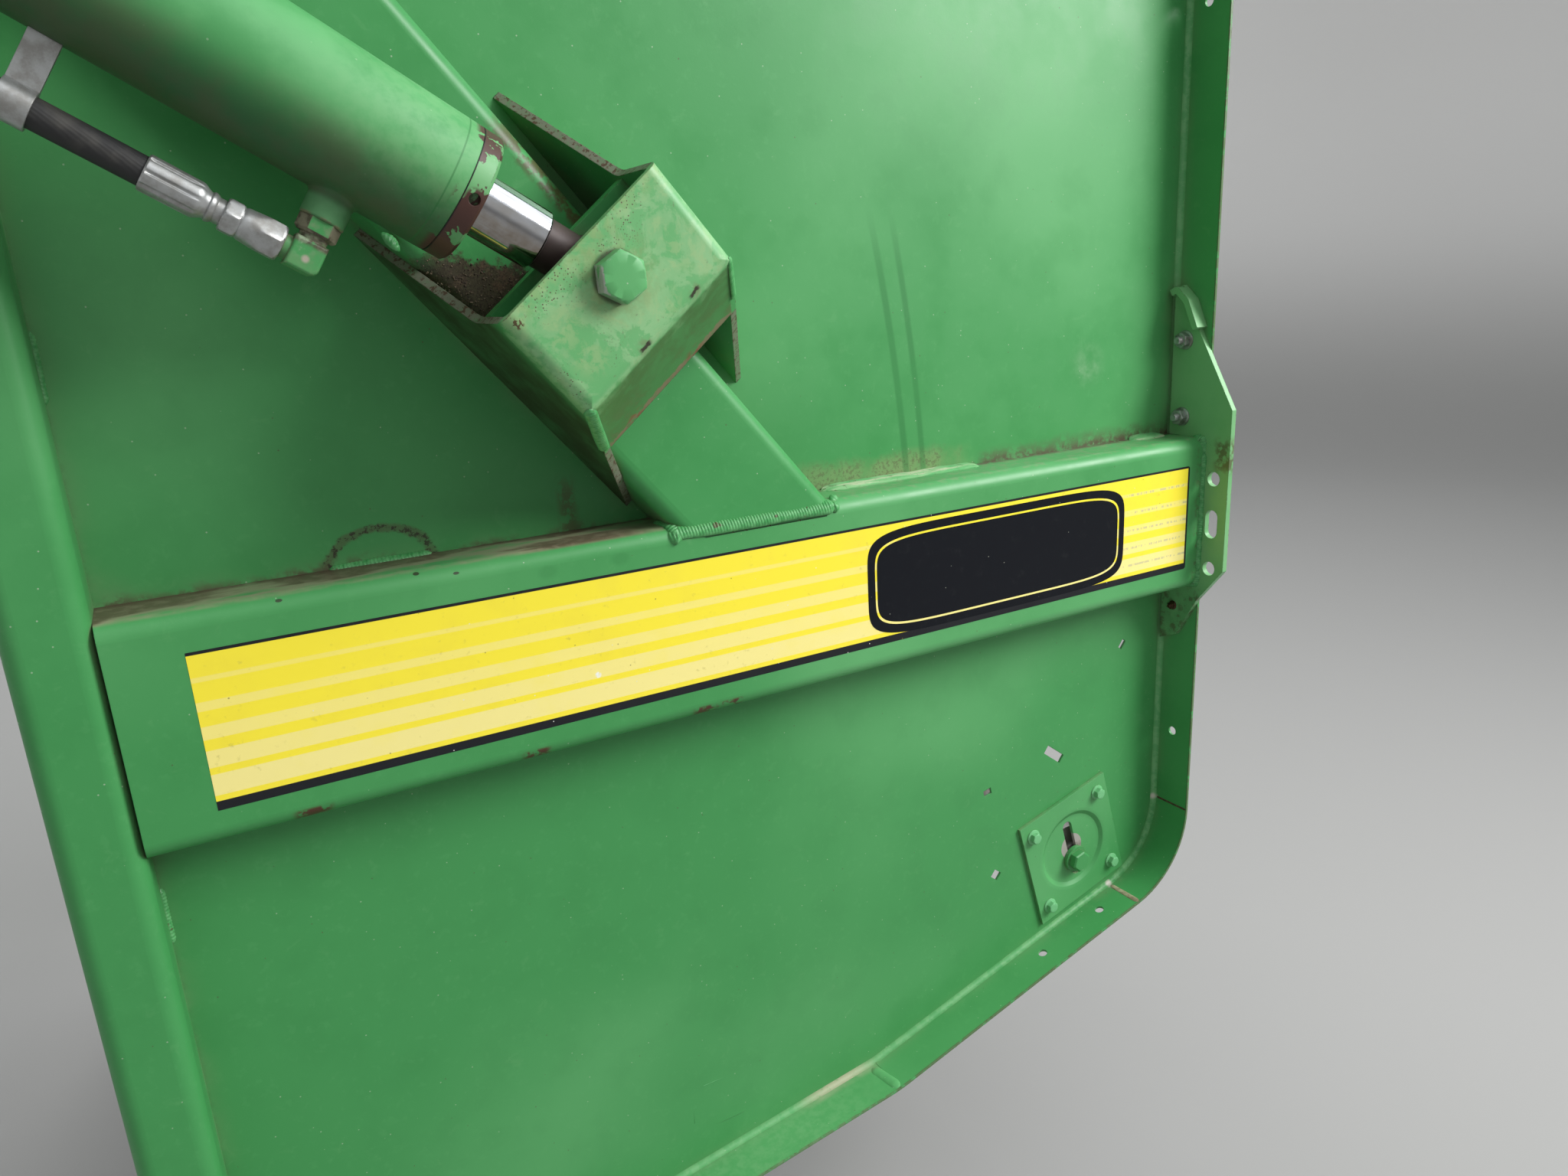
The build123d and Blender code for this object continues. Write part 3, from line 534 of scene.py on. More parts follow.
FACE_FADED = (0.235, 0.465, 0.215)
FACE_MOTTLE = (0.110, 0.370, 0.130)
FACE_PALE = (0.31, 0.46, 0.21)
FACE_SMEAR = (0.27, 0.43, 0.19)
# Worn paint on the bracket's bends, and a painted highlight there
BEND_HIGHLIGHT_AND_WEAR = (0.27, 0.52, 0.25)
# Painted shade round the bracket's bolt
SHADE_ROUND_BOLT = (0.21, 0.27, 0.11)
SCRATCH = (0.14, 0.16, 0.08)
TEAR_RIM = (0.17, 0.15, 0.08)
# Painted shade: the bracket's end plate made darker
END_PLATE_SHADE = (0.062, 0.150, 0.045)
END_PLATE_FILM = (0.12, 0.155, 0.065)
# Painted shade on the bracket's near leg, with soil
NEAR_LEG_SHADE_AND_SOIL = (0.030, 0.036, 0.012)
# Painted shade for the barrel's lower side
BARREL_UNDER_SHADE = (0.012, 0.070, 0.020)
BOSS = (0.090, 0.275, 0.110)
NUT_BROWN, NUT_TAN = (0.085, 0.070, 0.048), (0.235, 0.215, 0.150)
NUT_FLAT = (0.22, 0.28, 0.16)
ELBOW_FILM, ELBOW_SMEAR = (0.135, 0.27, 0.115), (0.30, 0.42, 0.27)
ELBOW_SPOT, ELBOW_CHIP = (0.42, 0.36, 0.30), (0.21, 0.185, 0.12)
# Painted light: paler paint for the small bolts' heads
SMALL_BOLT_PAINTED_LIGHT = (0.165, 0.470, 0.210)
FLANGE_EDGE = (0.10, 0.115, 0.055)
SEAM_CHIP = (0.20, 0.15, 0.09)
YELLOW = (0.93, 0.78, 0.045)
YELLOW_DULL = (0.78, 0.62, 0.05)
YELLOW_STAIN = (0.45, 0.38, 0.08)
CREAM = (0.90, 0.79, 0.30)
LINE_GREY = (0.42, 0.42, 0.30)
FILM_CHIP, FILM_SPECK = (0.75, 0.76, 0.70), (0.20, 0.16, 0.05)
FILM_DROP = (0.85, 0.86, 0.80)
BLACK = (0.006, 0.007, 0.010)
BLACK_DUST = (0.12, 0.13, 0.12)
RUBBER, RUBBER_DUST = (0.018, 0.018, 0.019), (0.085, 0.080, 0.068)
ROLLED, ROLLED_RUST = (0.36, 0.35, 0.33), (0.14, 0.075, 0.045)
CHROMED, CHROME_LINES = (0.60, 0.615, 0.65), (0.42, 0.37, 0.30)
# Brown of the rod's lower side: oil, and a painted reflection of brown ground
OIL_AND_GROUND_REFLECTION = (0.235, 0.175, 0.115)
NECK_DARK, NECK_BROWN = (0.034, 0.020, 0.018), (0.070, 0.046, 0.040)
SCRAPED, SCRAPED_PALE = (0.24, 0.46, 0.22), (0.46, 0.52, 0.34)
FLOOR, FLOOR_CLOUD = (0.31, 0.307, 0.30), (0.30, 0.297, 0.29)
WALL = (0.72, 0.715, 0.70)


def enamel(name, fade=0.5, dust=0.35, chips=0.25, marks=None, specks=0.05, chip_colour=RUST,
           dullness=0.0, relief=None):
    """Old gloss enamel: fades, dust in corners, dark soil in tight corners that is painted shade there
    as well as dirt, pale specks and chips along edges.

    marks is a function that gives this piece's own layers, each (colour, share, share ...), and
    relief one that gives the height of its shallow shapes in metres.
    """
    f = Finish(name, specular=0.36)
    slow, cloud, fine = f.noise(1.9, 2.0), f.noise(17.0, 5.0, 0.6), f.noise(95.0, 4.0, 0.6)
    scuffs = f.noise(42.0, 6.0, 0.72, distortion=0.6)
    film = f.times(f.crevice(0.040), f.rise(cloud, 0.30, 0.62), dust)
    # Dark soil laid where ambient occlusion finds a tight corner: dirt, and painted shade in the
    # crevice as well.
    grime_and_shade = f.times(f.crevice(0.012, 0.7, 0.25), f.rise(fine, 0.35, 0.6), 0.65 * dust + 0.2)
    colour = f.tint(f.rise(slow, 0.66 - 0.4 * fade, 1.0 - 0.4 * fade), GREEN, GREEN_FADED)
    colour = f.layered(colour, (
        (GREEN_DEEP, f.rise(cloud, 0.55, 0.30), 0.10), (GREEN_FADED, f.rise(fine, 0.55, 0.72), 0.14),
        (GREEN_PALE, f.rise(scuffs, 0.58, 0.72), 0.11), (DUST, film), (SOIL, grime_and_shade),
        (SPECK_PALE, f.specks(170.0, specks, 0.15), 0.45),
        (SOIL, f.specks(130.0, specks * 0.6, 0.12), 0.7)))
    if marks:
        colour = f.layered(colour, marks(f, cloud, fine))
    least = 0.66 - 0.22 * chips
    worn = f.times(f.edge(0.0022), f.rise(f.noise(120.0, 4.0, 0.65), least, least + 0.04))
    colour = f.tint(worn, colour, chip_colour)
    rough = f.plus(f.rise(cloud, 0.25, 0.75, 0.32 + dullness, 0.46 + dullness),
                   f.times(f.most(film, grime_and_shade, worn), 0.35))
    height = f.plus(f.times(f.noise(520.0, 2.0), 0.3), f.times(fine, 0.5))
    normal = f.rounded(0.0012)
    if relief:
        normal = f.bump(relief(f), 1.0, normal)
    return f.done(colour, rough, f.bump(f.minus(height, f.times(worn, 1.6)), 0.00010, normal))


def sheet_marks(f, cloud, fine):
    """Worn inner face made dark as painted shade of the closed chamber, dirt above the beam, arcs round
    its skip welds, drips, a pale blotch and a painted shadow on the sheet below the brace.
    """
    above = f.minus(f.z, BEAM_HIGH.z)
    over_beam = f.rise(above, -0.003, -0.001)
    edge = f.stirred(above, cloud, -0.030)
    dots = f.rise(f.noise(230.0, 3.0, 0.7), 0.50, 0.58)
    # Painted shade: the inner face and the holes' walls made dark, as the closed chamber's inside would
    # be, over its wear.
    yield INNER_FACE_SHADE_AND_WEAR, f.rise(f.out, -0.0028, -0.0034), f.rise(cloud, 0.2, 0.5, 0.75, 1.0)
    yield (SOIL, over_beam, f.rise(edge, 0.025, 0.001), f.rise(f.x, 1.065, 1.085),
           f.rise(fine, 0.30, 0.60), 0.75)
    yield SOIL, over_beam, f.rise(edge, 0.009, -0.002), f.rise(fine, 0.40, 0.60), 0.75
    arc_x, half_length, half_height = ARC
    reach = f.stirred(f.oval(arc_x, BEAM_HIGH.z, half_length, half_height), fine, 0.22)
    ring = f.times(f.band(reach, 0.90, 1.0, 0.10), over_beam)
    yield SOIL, ring, f.rise(cloud, 0.30, 0.55), 0.55
    yield SOIL_DARK, ring, dots, 0.9
    film = f.times(f.rise(edge, 0.035, 0.015), f.band(f.x, 0.83, 1.03, 0.05), over_beam)
    yield MOSS, film, f.rise(cloud, 0.30, 0.60, 0.15, 0.6)
    yield SOIL, film, dots, f.rise(cloud, 0.40, 0.55), 0.45
    up = f.minus(f.z, DRIPS_Z)
    for start, lean, bend, width in DRIPS:
        middle = f.plus(f.plus(f.times(up, lean), start), f.times(up, up, bend))
        yield (GREEN_DEEP, f.band(f.minus(f.x, middle), -width / 2, width / 2, 0.004),
               f.band(above, 0.011, 0.231, 0.09), f.rise(cloud, 0.2, 0.6, 0.55, 1.0), 0.50)
    yield (RUST, f.rise(f.apart(f.x, STREAK_X), 0.014, 0.003), f.band(above, -0.001, 0.036, 0.030),
           f.rise(fine, 0.42, 0.56), 0.75)
    yield (SPECK_PALE, f.near(BLOTCH, 0.002, 0.040), f.rise(cloud, 0.30, 0.60),
           f.rise(fine, 0.2, 0.7), 0.20)
    # Painted shadow: a soft dark oval on the sheet below the brace, the bracket and the cylinder.
    yield GREEN_DEEP, f.patch(*SHADOW_OVAL, 0.2), 0.45


def sheet_waves(f):
    """Slow waves of the thin sheet, with small dents round the lower roll's plate."""
    x, z = ROLL_PLATE_AT
    dented = f.times(f.patch(x - 0.05, z, 0.24, 0.24), f.noise(13.0, 2.0), 0.0007)
    return f.plus(f.times(f.noise(4.2, 2.0, 0.45), 0.0013), dented)


def beam_marks(f, cloud, fine):
    """Dirt on the beam's upper flat, damp and nicked spots below it, and rust on the lower bend."""
    flat = f.rise(f.z, BEAM_HIGH.z - 0.0035, BEAM_HIGH.z - 0.0006)
    left = f.times(flat, f.rise(f.x, 0.66, 0.54), 0.85)
    streaks = f.noise(22.0, 4.0, 0.6, at=f.stretched((0.25, 1.0, 1.0)))
    yield DUST, left, f.rise(streaks, 0.36, 0.50)
    yield SOIL, left, f.rise(streaks, 0.47, 0.56)
    yield DUST, flat, f.rise(fine, 0.45, 0.62), 0.30
    yield SOIL, flat, f.rise(f.out, 0.014, 0.004), f.rise(fine, 0.30, 0.52), 0.85
    for x, z in DAMP_SPOTS:
        yield GREEN_DEEP, f.patch(x, z, 0.013, 0.009), 0.20
    for x, z in BEAM_NICKS:
        yield SOIL_DARK, f.patch(x, z, 0.0032, 0.0014, 0.8), 0.85
    low = f.band(f.z, BEAM_LOW.z + 0.001, BEAM_LOW.z + 0.010, 0.004)
    for x, half in BEAM_RUST:
        yield RUST, low, f.band(f.x, x - half, x + half, 0.010), f.rise(fine, 0.40, 0.52)
    yield SOIL, f.rise(f.x, BEAM_HIGH.x - 0.0185, BEAM_HIGH.x - 0.0065), f.rise(fine, 0.52, 0.62), 0.5


def brace_marks(f, cloud, fine):
    """Soil caked in the corner by the near leg; the far leg's foot is streaked with rust."""
    along, across = f.from_pin(BRACE_ANGLE)
    slant = f.stirred(f.minus(across, f.times(along, SOIL_SLOPE)), fine, 0.050)
    caked = f.times(f.rise(slant, 0.012, 0.000), f.rise(along, 0.030, 0.010),
                    f.rise(along, -0.120, -0.080))
    grains = f.noise(620.0, 3.0, 0.7)
    yield SOIL_CAKED, caked, 0.95
    yield SOIL_LUMP, caked, f.rise(f.noise(90.0, 4.0, 0.65), 0.50, 0.62), 0.8
    yield SOIL_DARK, caked, f.rise(grains, 0.50, 0.42), 0.8
    yield STRAW, caked, f.rise(grains, 0.66, 0.70)
    yield (RUST, f.band(across, 0.044, 0.0575, 0.008), f.band(along, -0.12, 0.02, 0.03),
           f.rise(fine, 0.40, 0.55), 0.75)


def bracket_marks(f, cloud, fine):
    """Faded face with olive smears and brown flecks, worn bends with a painted highlight, painted shade
    round the bolt, over the end plate and on the near leg under its soil, bare cut edges, rust under
    the end plate.
    """
    along, across = f.from_pin(BRACE_ANGLE)
    face = f.rise(f.out, BRACKET_TOP - 0.0090, BRACKET_TOP - 0.0015)
    mottle = f.noise(27.0, 6.0, 0.66, distortion=0.5)
    yield FACE_FADED, face, f.rise(cloud, 0.30, 0.62, 0.55, 0.95)
    yield FACE_MOTTLE, face, f.rise(mottle, 0.51, 0.45), 0.80
    yield FACE_PALE, face, f.rise(mottle, 0.54, 0.60), 0.40
    # Painted highlight on the face's bends, with their worn paint.
    yield BEND_HIGHLIGHT_AND_WEAR, f.band(f.out, 0.178, 0.1915, 0.003), f.rise(fine, 0.35, 0.6), 0.65
    smears = f.most(*(f.near(brace_point(a, b, BRACKET_TOP), 0.2 * radius, radius)
                      for a, b, radius in FACE_SMEARS))
    patchy = f.rise(f.noise(75.0, 5.0, 0.68, distortion=0.5), 0.46, 0.58)
    yield FACE_SMEAR, face, smears, patchy, 0.60
    yield OLIVE, face, f.rise(along, -0.022, -0.040), f.rise(fine, 0.35, 0.6), 0.5
    bolt = brace_point(0, 0, BRACKET_TOP)
    # Painted shade round the bolt.
    yield SHADE_ROUND_BOLT, face, f.near(bolt, 0.021, 0.050), f.rise(fine, 0.35, 0.65), 0.55
    yield SOIL_DARK, face, f.near(bolt, 0.0205, 0.0245), 0.75
    flecked = f.most(f.rise(along, 0.004, -0.030), f.rise(across, -0.020, -0.070))
    yield SOIL, face, flecked, f.specks(430.0, 0.60, 0.34), f.rise(cloud, 0.43, 0.53), 0.95
    scratched = f.rise(f.noise(150.0, 5.0, 0.75), 0.64, 0.67)
    yield SCRATCH, f.rise(f.out, 0.10, 0.12), scratched, 0.5
    hook = f.near(brace_point(*HOOK, BRACKET_TOP), 0.0035, 0.0060)
    yield RUST, hook, f.rise(f.noise(330.0, 2.0), 0.52, 0.56), 0.9
    for a, b in TEARS:
        away = f.stirred(f.minus(along, a), fine, 0.009)
        yield TEAR_RIM, f.near(brace_point(a, b, 0.193), 0.004, 0.012), f.rise(fine, 0.4, 0.6), 0.5
        yield (SOIL_DARK, f.band(away, -0.0012, 0.0012, 0.0012),
               f.band(across, b - 0.004, b + 0.004, 0.004), f.rise(f.out, 0.186, 0.190), 0.95)
    plate = f.times(f.rise(along, 0.0625, 0.066), f.band(across, -0.088, 0.084, 0.002),
                    f.rise(f.out, 0.1190, 0.1195))
    # Painted shade: the end plate made darker all over, as it faces down.
    yield END_PLATE_SHADE, plate, f.rise(mottle, 0.40, 0.60, 0.60, 0.95)
    yield END_PLATE_FILM, plate, f.rise(mottle, 0.50, 0.60), f.rise(f.out, 0.165, 0.125), 0.7
    ragged = f.rise(f.stirred(f.out, mottle, 0.030), 0.1262, 0.1248)
    yield RUST_PALE, plate, ragged, f.rise(fine, 0.34, 0.44), 0.9
    # Painted shade: the near leg's outer face made near black low down, with soil.
    yield (NEAR_LEG_SHADE_AND_SOIL, f.rise(across, -0.0960, -0.0978), f.rise(f.out, 0.188, 0.150),
           f.rise(cloud, 0.30, 0.60, 0.6, 0.95))
    for a, b in PLATE_RUST:
        spot = f.near(brace_point(a, b, 0.1235), 0.004, 0.016)
        yield RUST_BRIGHT, plate, spot, f.rise(fine, 0.40, 0.48), 0.9
    c, s = math.cos(BRACE_ANGLE), math.sin(BRACE_ANGLE)
    legs = f.most(f.rise(across, -0.0885, -0.0893), f.rise(across, 0.0825, 0.0833))
    front = f.times(f.facing((-c, 0, -s), 0.45, 0.60), f.rise(f.out, 0.186, 0.182))
    step = f.times(f.facing((0, 1, 0), 0.90, 0.97), f.rise(f.out, 0.160, 0.150))
    rear = f.times(f.facing((c, 0, s), 0.45, 0.60), legs, f.rise(f.out, 0.122, 0.118))
    rusty = f.rise(f.noise(210.0, 4.0, 0.65), 0.53, 0.60)
    for cut in (front, step, rear):
        yield CUT_STEEL, cut, f.rise(fine, 0.30, 0.52, 0.6, 1.0)
        yield RUST, cut, rusty, 0.85


def gland_marks(f, cloud, fine):
    """Primer that shows where paint has chipped off: at the top, low down and round the hole."""
    along, across = f.from_pin(ROD_ANGLE)
    away = f.times(f.apart(across, -0.006), 1 / BARREL_RADIUS)
    ragged = f.plus(f.noise(30.0, 4.0, 0.6, distortion=0.4), f.times(away, 0.19))
    hole = f.near(rod_point(*SPANNER_AT), 0.006, 0.010)
    yield GREEN_PALE, f.rise(cloud, 0.3, 0.6, 0.2, 0.7)
    yield PRIMER, f.most(f.rise(ragged, 0.560, 0.572), f.times(hole, f.rise(fine, 0.38, 0.44)))
    yield BLACK, f.band(along, BARREL_START - 0.0005, BARREL_START + 0.0003, 0.0005)


def barrel_marks(f, cloud, fine):
    """Joint line at the gland with chips behind it, painted shade with soil over it on the lower side,
    and straw-coloured dirt on the boss.
    """
    along, across = f.from_pin(ROD_ANGLE)
    away = f.times(f.calc("ABSOLUTE", across), 1 / BARREL_RADIUS)
    ragged = f.plus(f.noise(40.0, 4.0, 0.6), f.times(away, 0.12))
    yield GREEN_FADED, f.rise(cloud, 0.35, 0.65, 0.3, 0.8)
    yield GREEN_PALE, f.rise(along, 0.30, 0.18), f.rise(fine, 0.3, 0.6), 0.35
    # Painted shade: the barrel's lower side made dark, with soil over it.
    yield BARREL_UNDER_SHADE, f.rise(across, 0.000, 0.046), 0.80
    yield SOIL, f.rise(across, -0.004, 0.030), f.rise(cloud, 0.32, 0.60), 0.40
    yield GREEN_DEEP, f.band(along, BARREL_START + 0.0120, BARREL_START + 0.0127, 0.0006), 0.6
    yield (PRIMER, f.rise(along, BARREL_START + 0.0090, BARREL_START + 0.0025),
           f.rise(ragged, 0.58, 0.595))
    yield (BOSS, f.rise(across, BARREL_RADIUS + 0.001, BARREL_RADIUS + 0.007),
           f.rise(cloud, 0.3, 0.6, 0.4, 0.9))
    yield STRAW, f.rise(across, PORT_TOP - 0.0025, PORT_TOP - 0.0005), f.rise(fine, 0.42, 0.55), 0.8


def elbow_marks(f, cloud, fine):
    """Locknut rubbed to brown except on its outer flat, and rub marks on the elbow's flat."""
    across = f.from_pin(ROD_ANGLE)[1]
    nut_end = 0.0868
    nut = f.rise(across, nut_end, nut_end - 0.0006)
    outer_flat = f.facing((0, 1, 0), 0.90, 0.97)
    rubbed = f.most(f.times(nut, f.minus(1.0, outer_flat)), f.band(across, nut_end, 0.0925, 0.003))
    spot = f.near(rod_point(PORT_AT, 0.1040, 0.012), 0.0012, 0.0040)
    smear = f.near(rod_point(PORT_AT + 0.006, 0.0945, 0.012), 0.002, 0.012)
    yield f.tint(f.rise(fine, 0.4, 0.6), NUT_BROWN, NUT_TAN), rubbed, f.rise(fine, 0.25, 0.42)
    yield NUT_FLAT, nut, outer_flat, f.rise(fine, 0.42, 0.60), 0.55
    yield ELBOW_FILM, f.rise(across, nut_end, nut_end + 0.0004), f.rise(fine, 0.35, 0.65), 0.55
    yield ELBOW_SMEAR, smear, f.rise(fine, 0.40, 0.58), 0.8
    yield ELBOW_SPOT, spot, 0.9


def bolt_marks(f, cloud, fine):
    """Bare steel along the head's front flats, where the socket wore the paint."""
    yield BARE_STEEL, f.facing((-0.95, 0.2, -0.2), 0.55, 0.70), f.rise(fine, 0.36, 0.50), 0.8


def small_bolt_painted_light(f, cloud, fine):
    """Paler paint all over the head, painted light that stands in for light on its shaded sides."""
    # Painted light: the whole head made paler.
    yield SMALL_BOLT_PAINTED_LIGHT, f.rise(cloud, 0.2, 0.6, 0.6, 0.9)


def dish_relief(f):
    """Shallow dish of the roll's plate, with a soft wide slope at its rim."""
    return f.rise(f.oval(*ROLL_PLATE_AT, 1.0, 1.0), 0.049, 0.067, -0.0022, 0.0)


def roll_plate_marks(f, cloud, fine):
    """Bare crescent beside the slot, where the washer used to sit."""
    x = ROLL_PLATE_AT[0] - 0.004 * math.sin(LOWER_SLOPE)
    z = ROLL_PLATE_AT[1] + 0.004 * math.cos(LOWER_SLOPE)
    bare = f.times(f.near((x, 0.002, z), 0.0195, 0.0205), f.rise(fine, 0.30, 0.42))
    yield WASHER_STEEL, bare
    yield SOIL, bare, f.rise(cloud, 0.5, 0.6)


def flange_marks(f, cloud, fine):
    """Bare spots at the seams' inner ends, and the worn brownish outer edge."""
    yield (FLANGE_EDGE, f.rise(f.out, FLANGE_OUT - 0.0029, FLANGE_OUT - 0.0005),
           f.rise(fine, 0.36, 0.50), 0.75)
    for x, z in FLANGE_SPOTS:
        yield BARE_SPOT, f.near((x, 0.005, z), 0.001, 0.007), f.rise(fine, 0.40, 0.50)
    yield (DUST_PALE, f.patch(*RUBBED_FLANGE, 0.3), f.rise(f.out, 0.018, 0.006),
           f.rise(cloud, 0.25, 0.60), 0.8)
    yield GREEN_PALE, f.patch(*FILM_OVAL, 0.3), f.rise(fine, 0.35, 0.65), 0.35


def fillet_marks(f, cloud, fine):
    """Bare spots where the flange's seams start, and worn paint along the corner."""
    yield GREEN_PALE, f.rise(fine, 0.40, 0.60, 0.0, 0.5)
    for x, z in FILLET_SPOTS:
        yield BARE_SPOT, f.near((x, 0.003, z), 0.002, 0.0075), f.rise(fine, 0.38, 0.46)
    yield DUST_PALE, f.patch(*RUBBED_FILLET, 0.2), f.rise(fine, 0.20, 0.45), 0.9


def rear_plate_marks(f, cloud, fine):
    """Rust stain by the outer edge, and dirt on the tab below the beam."""
    tab = f.times(f.rise(f.z, -1.075, -1.105), f.rise(cloud, 0.30, 0.58))
    yield GREEN_PALE, f.rise(cloud, 0.2, 0.6, 0.5, 0.9)
    yield (RUST, f.patch(*STAIN_OVAL), f.rise(f.out, 0.078, 0.092),
           f.rise(fine, 0.38, 0.56), 0.7)
    yield GREEN_DEEP, tab, 0.45
    yield SOIL, tab, f.rise(fine, 0.48, 0.60), 0.7


def stripe_finish():
    """Yellow stripe with five pale lines that widen towards the black line at the bottom.

    Behind the number's panel the lines turn into thin grey broken ones.
    """
    f = Finish("stripe_film", specular=0.40)
    cloud, fine = f.noise(14.0, 4.0, 0.6), f.noise(120.0, 4.0, 0.6)
    first, step, width, growth = STRIPE_TOP - 0.025, 0.02415, 0.0035, 0.0038
    panel_end = PANEL_AT[0] + PANEL_HALF[0]
    pale, grey = [], []
    for k in range(5):
        middle, half = first - k * step, (width + k * growth) / 2
        pale.append(f.times(f.band(f.z, middle - half, middle + half, 0.0010), 0.45 + 0.13 * k))
        grey.append(f.band(f.z, middle - 0.0012, middle + 0.0012, 0.0006))
    dashes = f.rise(f.noise(260.0, 2.0, at=f.stretched((1.0, 1.0, 0.2))), 0.48, 0.54)
    border = f.most(f.rise(f.z, STRIPE_TOP - 0.0032, STRIPE_TOP - 0.0026),
                    f.rise(f.z, STRIPE_LOW + 0.0090, STRIPE_LOW + 0.0084),
                    f.rise(f.x, STRIPE_REAR - 0.0036, STRIPE_REAR - 0.0030))
    drop = f.near(DROP_AT, 0.0022, 0.0040)
    colour = f.layered(YELLOW, (
        (YELLOW_DULL, f.rise(cloud, 0.45, 0.75), 0.30),
        (CREAM, f.most(*pale), f.rise(cloud, 0.2, 0.5, 0.70, 0.95)),
        (LINE_GREY, f.most(*grey), dashes, f.rise(f.x, panel_end - 0.005, panel_end + 0.008), 0.55),
        (YELLOW_STAIN, f.rise(fine, 0.60, 0.74), f.rise(cloud, 0.40, 0.62), 0.40),
        (BLACK, border), (FILM_CHIP, f.specks(130.0, 0.08, 0.10), 0.8),
        (FILM_SPECK, f.specks(90.0, 0.14, 0.09), 0.65), (FILM_DROP, drop, f.rise(fine, 0.35, 0.45))))
    return f.done(colour, f.rise(cloud, 0.3, 0.7, 0.34, 0.46), f.bump(fine, 0.00006))


def panel_finish():
    """Black film with faint dust and a few pale specks."""
    f = Finish("number_panel_film", specular=0.14)
    colour = f.layered(BLACK, ((BLACK_DUST, f.rise(f.noise(60.0, 5.0, 0.65), 0.55, 0.75), 0.05),
                               (SPECK_PALE, f.specks(120.0, 0.08, 0.08), 0.7)))
    return f.done(colour, 0.42, f.bump(f.noise(200.0), 0.00005))


def rod_finish():
    """Chromed rod with a brown film on its lower side, partly oil and partly a painted reflection of
    brown ground, and its unchromed neck gone brown.
    """
    f = Finish("rod_chrome", metallic=1.0)
    along, across = f.from_pin(ROD_ANGLE)
    lines = f.noise(900.0, 2.0, at=f.stretched((0.05, 1.0, 0.05)))
    cloud = f.noise(34.0, 4.0, 0.6)
    neck = f.rise(along, NECK_END + 0.0008, NECK_END)
    brown = f.tint(f.rise(cloud, 0.38, 0.62), NECK_DARK, NECK_BROWN)
    colour = f.layered(CHROMED, (
        (CHROME_LINES, f.rise(lines, 0.45, 0.70, 0.0, 0.35)),
        # Painted reflection of brown ground on the lower side, partly an oily film as well.
        (OIL_AND_GROUND_REFLECTION, f.rise(across, -0.006, 0.016), f.rise(cloud, 0.25, 0.60, 0.45, 0.95)),
        (brown, neck)))
    f.tree.links.new(f.rise(neck, 0.2, 0.8, 1.0, 0.25), f.shader.inputs["Metallic"])
    rough = f.plus(f.times(neck, 0.40), f.rise(cloud, 0.3, 0.8, 0.08, 0.20))
    return f.done(colour, rough, f.bump(lines, 0.000006))


def zinc(name, light=(0.44, 0.45, 0.45), deep=(0.31, 0.305, 0.29)):
    """Dull plating, cloudy, darkened with soil where pieces meet and in grooves, which is painted shade
    there as well as dirt.
    """
    f = Finish(name, metallic=0.70)
    cloud, fine = f.noise(70.0, 5.0, 0.65), f.noise(420.0, 3.0, 0.6)
    # Dark soil where ambient occlusion finds a groove or a meeting of pieces: dirt, and painted shade
    # in it as well.
    grime_and_shade = f.times(f.crevice(0.010), f.rise(fine, 0.3, 0.6), 0.6)
    colour = f.tint(grime_and_shade, f.tint(f.rise(cloud, 0.40, 0.66), light, deep), SOIL_DARK)
    rough = f.plus(f.rise(cloud, 0.3, 0.7, 0.36, 0.44), f.times(grime_and_shade, 0.3))
    return f.done(colour, rough, f.bump(fine, 0.00004, f.rounded(0.0007)))


def rubber():
    """Hose cover with a faint wrapped pattern and dust."""
    f = Finish("hose_rubber")
    wrap = f.add("TexWave", {"Vector": f.place, "Scale": 160.0, "Distortion": 0.4},
                 bands_direction="DIAGONAL").outputs[1]
    colour = f.tint(f.rise(f.noise(40.0, 4.0), 0.45, 0.7, 0.0, 0.5), RUBBER, RUBBER_DUST)
    return f.done(colour, 0.62, f.bump(wrap, 0.0001))


def rolled_steel():
    """Roll drums and shafts: bare steel, brushed round by belts, with thin rust."""
    f = Finish("bare_steel", metallic=0.9)
    lines = f.noise(8.0, 3.0, at=f.stretched((60.0, 1.2, 60.0)))
    cloud = f.noise(9.0, 5.0, 0.65)
    colour = f.tint(f.rise(cloud, 0.46, 0.66), ROLLED, ROLLED_RUST)
    return f.done(colour, f.rise(cloud, 0.3, 0.7, 0.30, 0.62), f.bump(lines, 0.00008))


def weld_finish():
    """Paint over a weld's ripples, darkened by soil beside it that is painted shade there as well as
    dirt, with few rusty spots.
    """
    f = Finish("painted_weld", specular=0.4)
    fine = f.noise(190.0, 4.0, 0.6)
    colour = f.layered(GREEN, ((GREEN_FADED, f.rise(fine, 0.35, 0.65)),
                               # Soil where ambient occlusion finds the weld's edge: dirt, and painted
                               # shade in the corner as well.
                               (SOIL, f.crevice(0.006), f.rise(fine, 0.35, 0.6), 0.8),
                               (RUST, f.rise(f.noise(60.0, 4.0), 0.66, 0.70, 0.0, 0.8))))
    return f.done(colour, f.rise(fine, 0.3, 0.7, 0.34, 0.5), f.bump(fine, 0.00012))


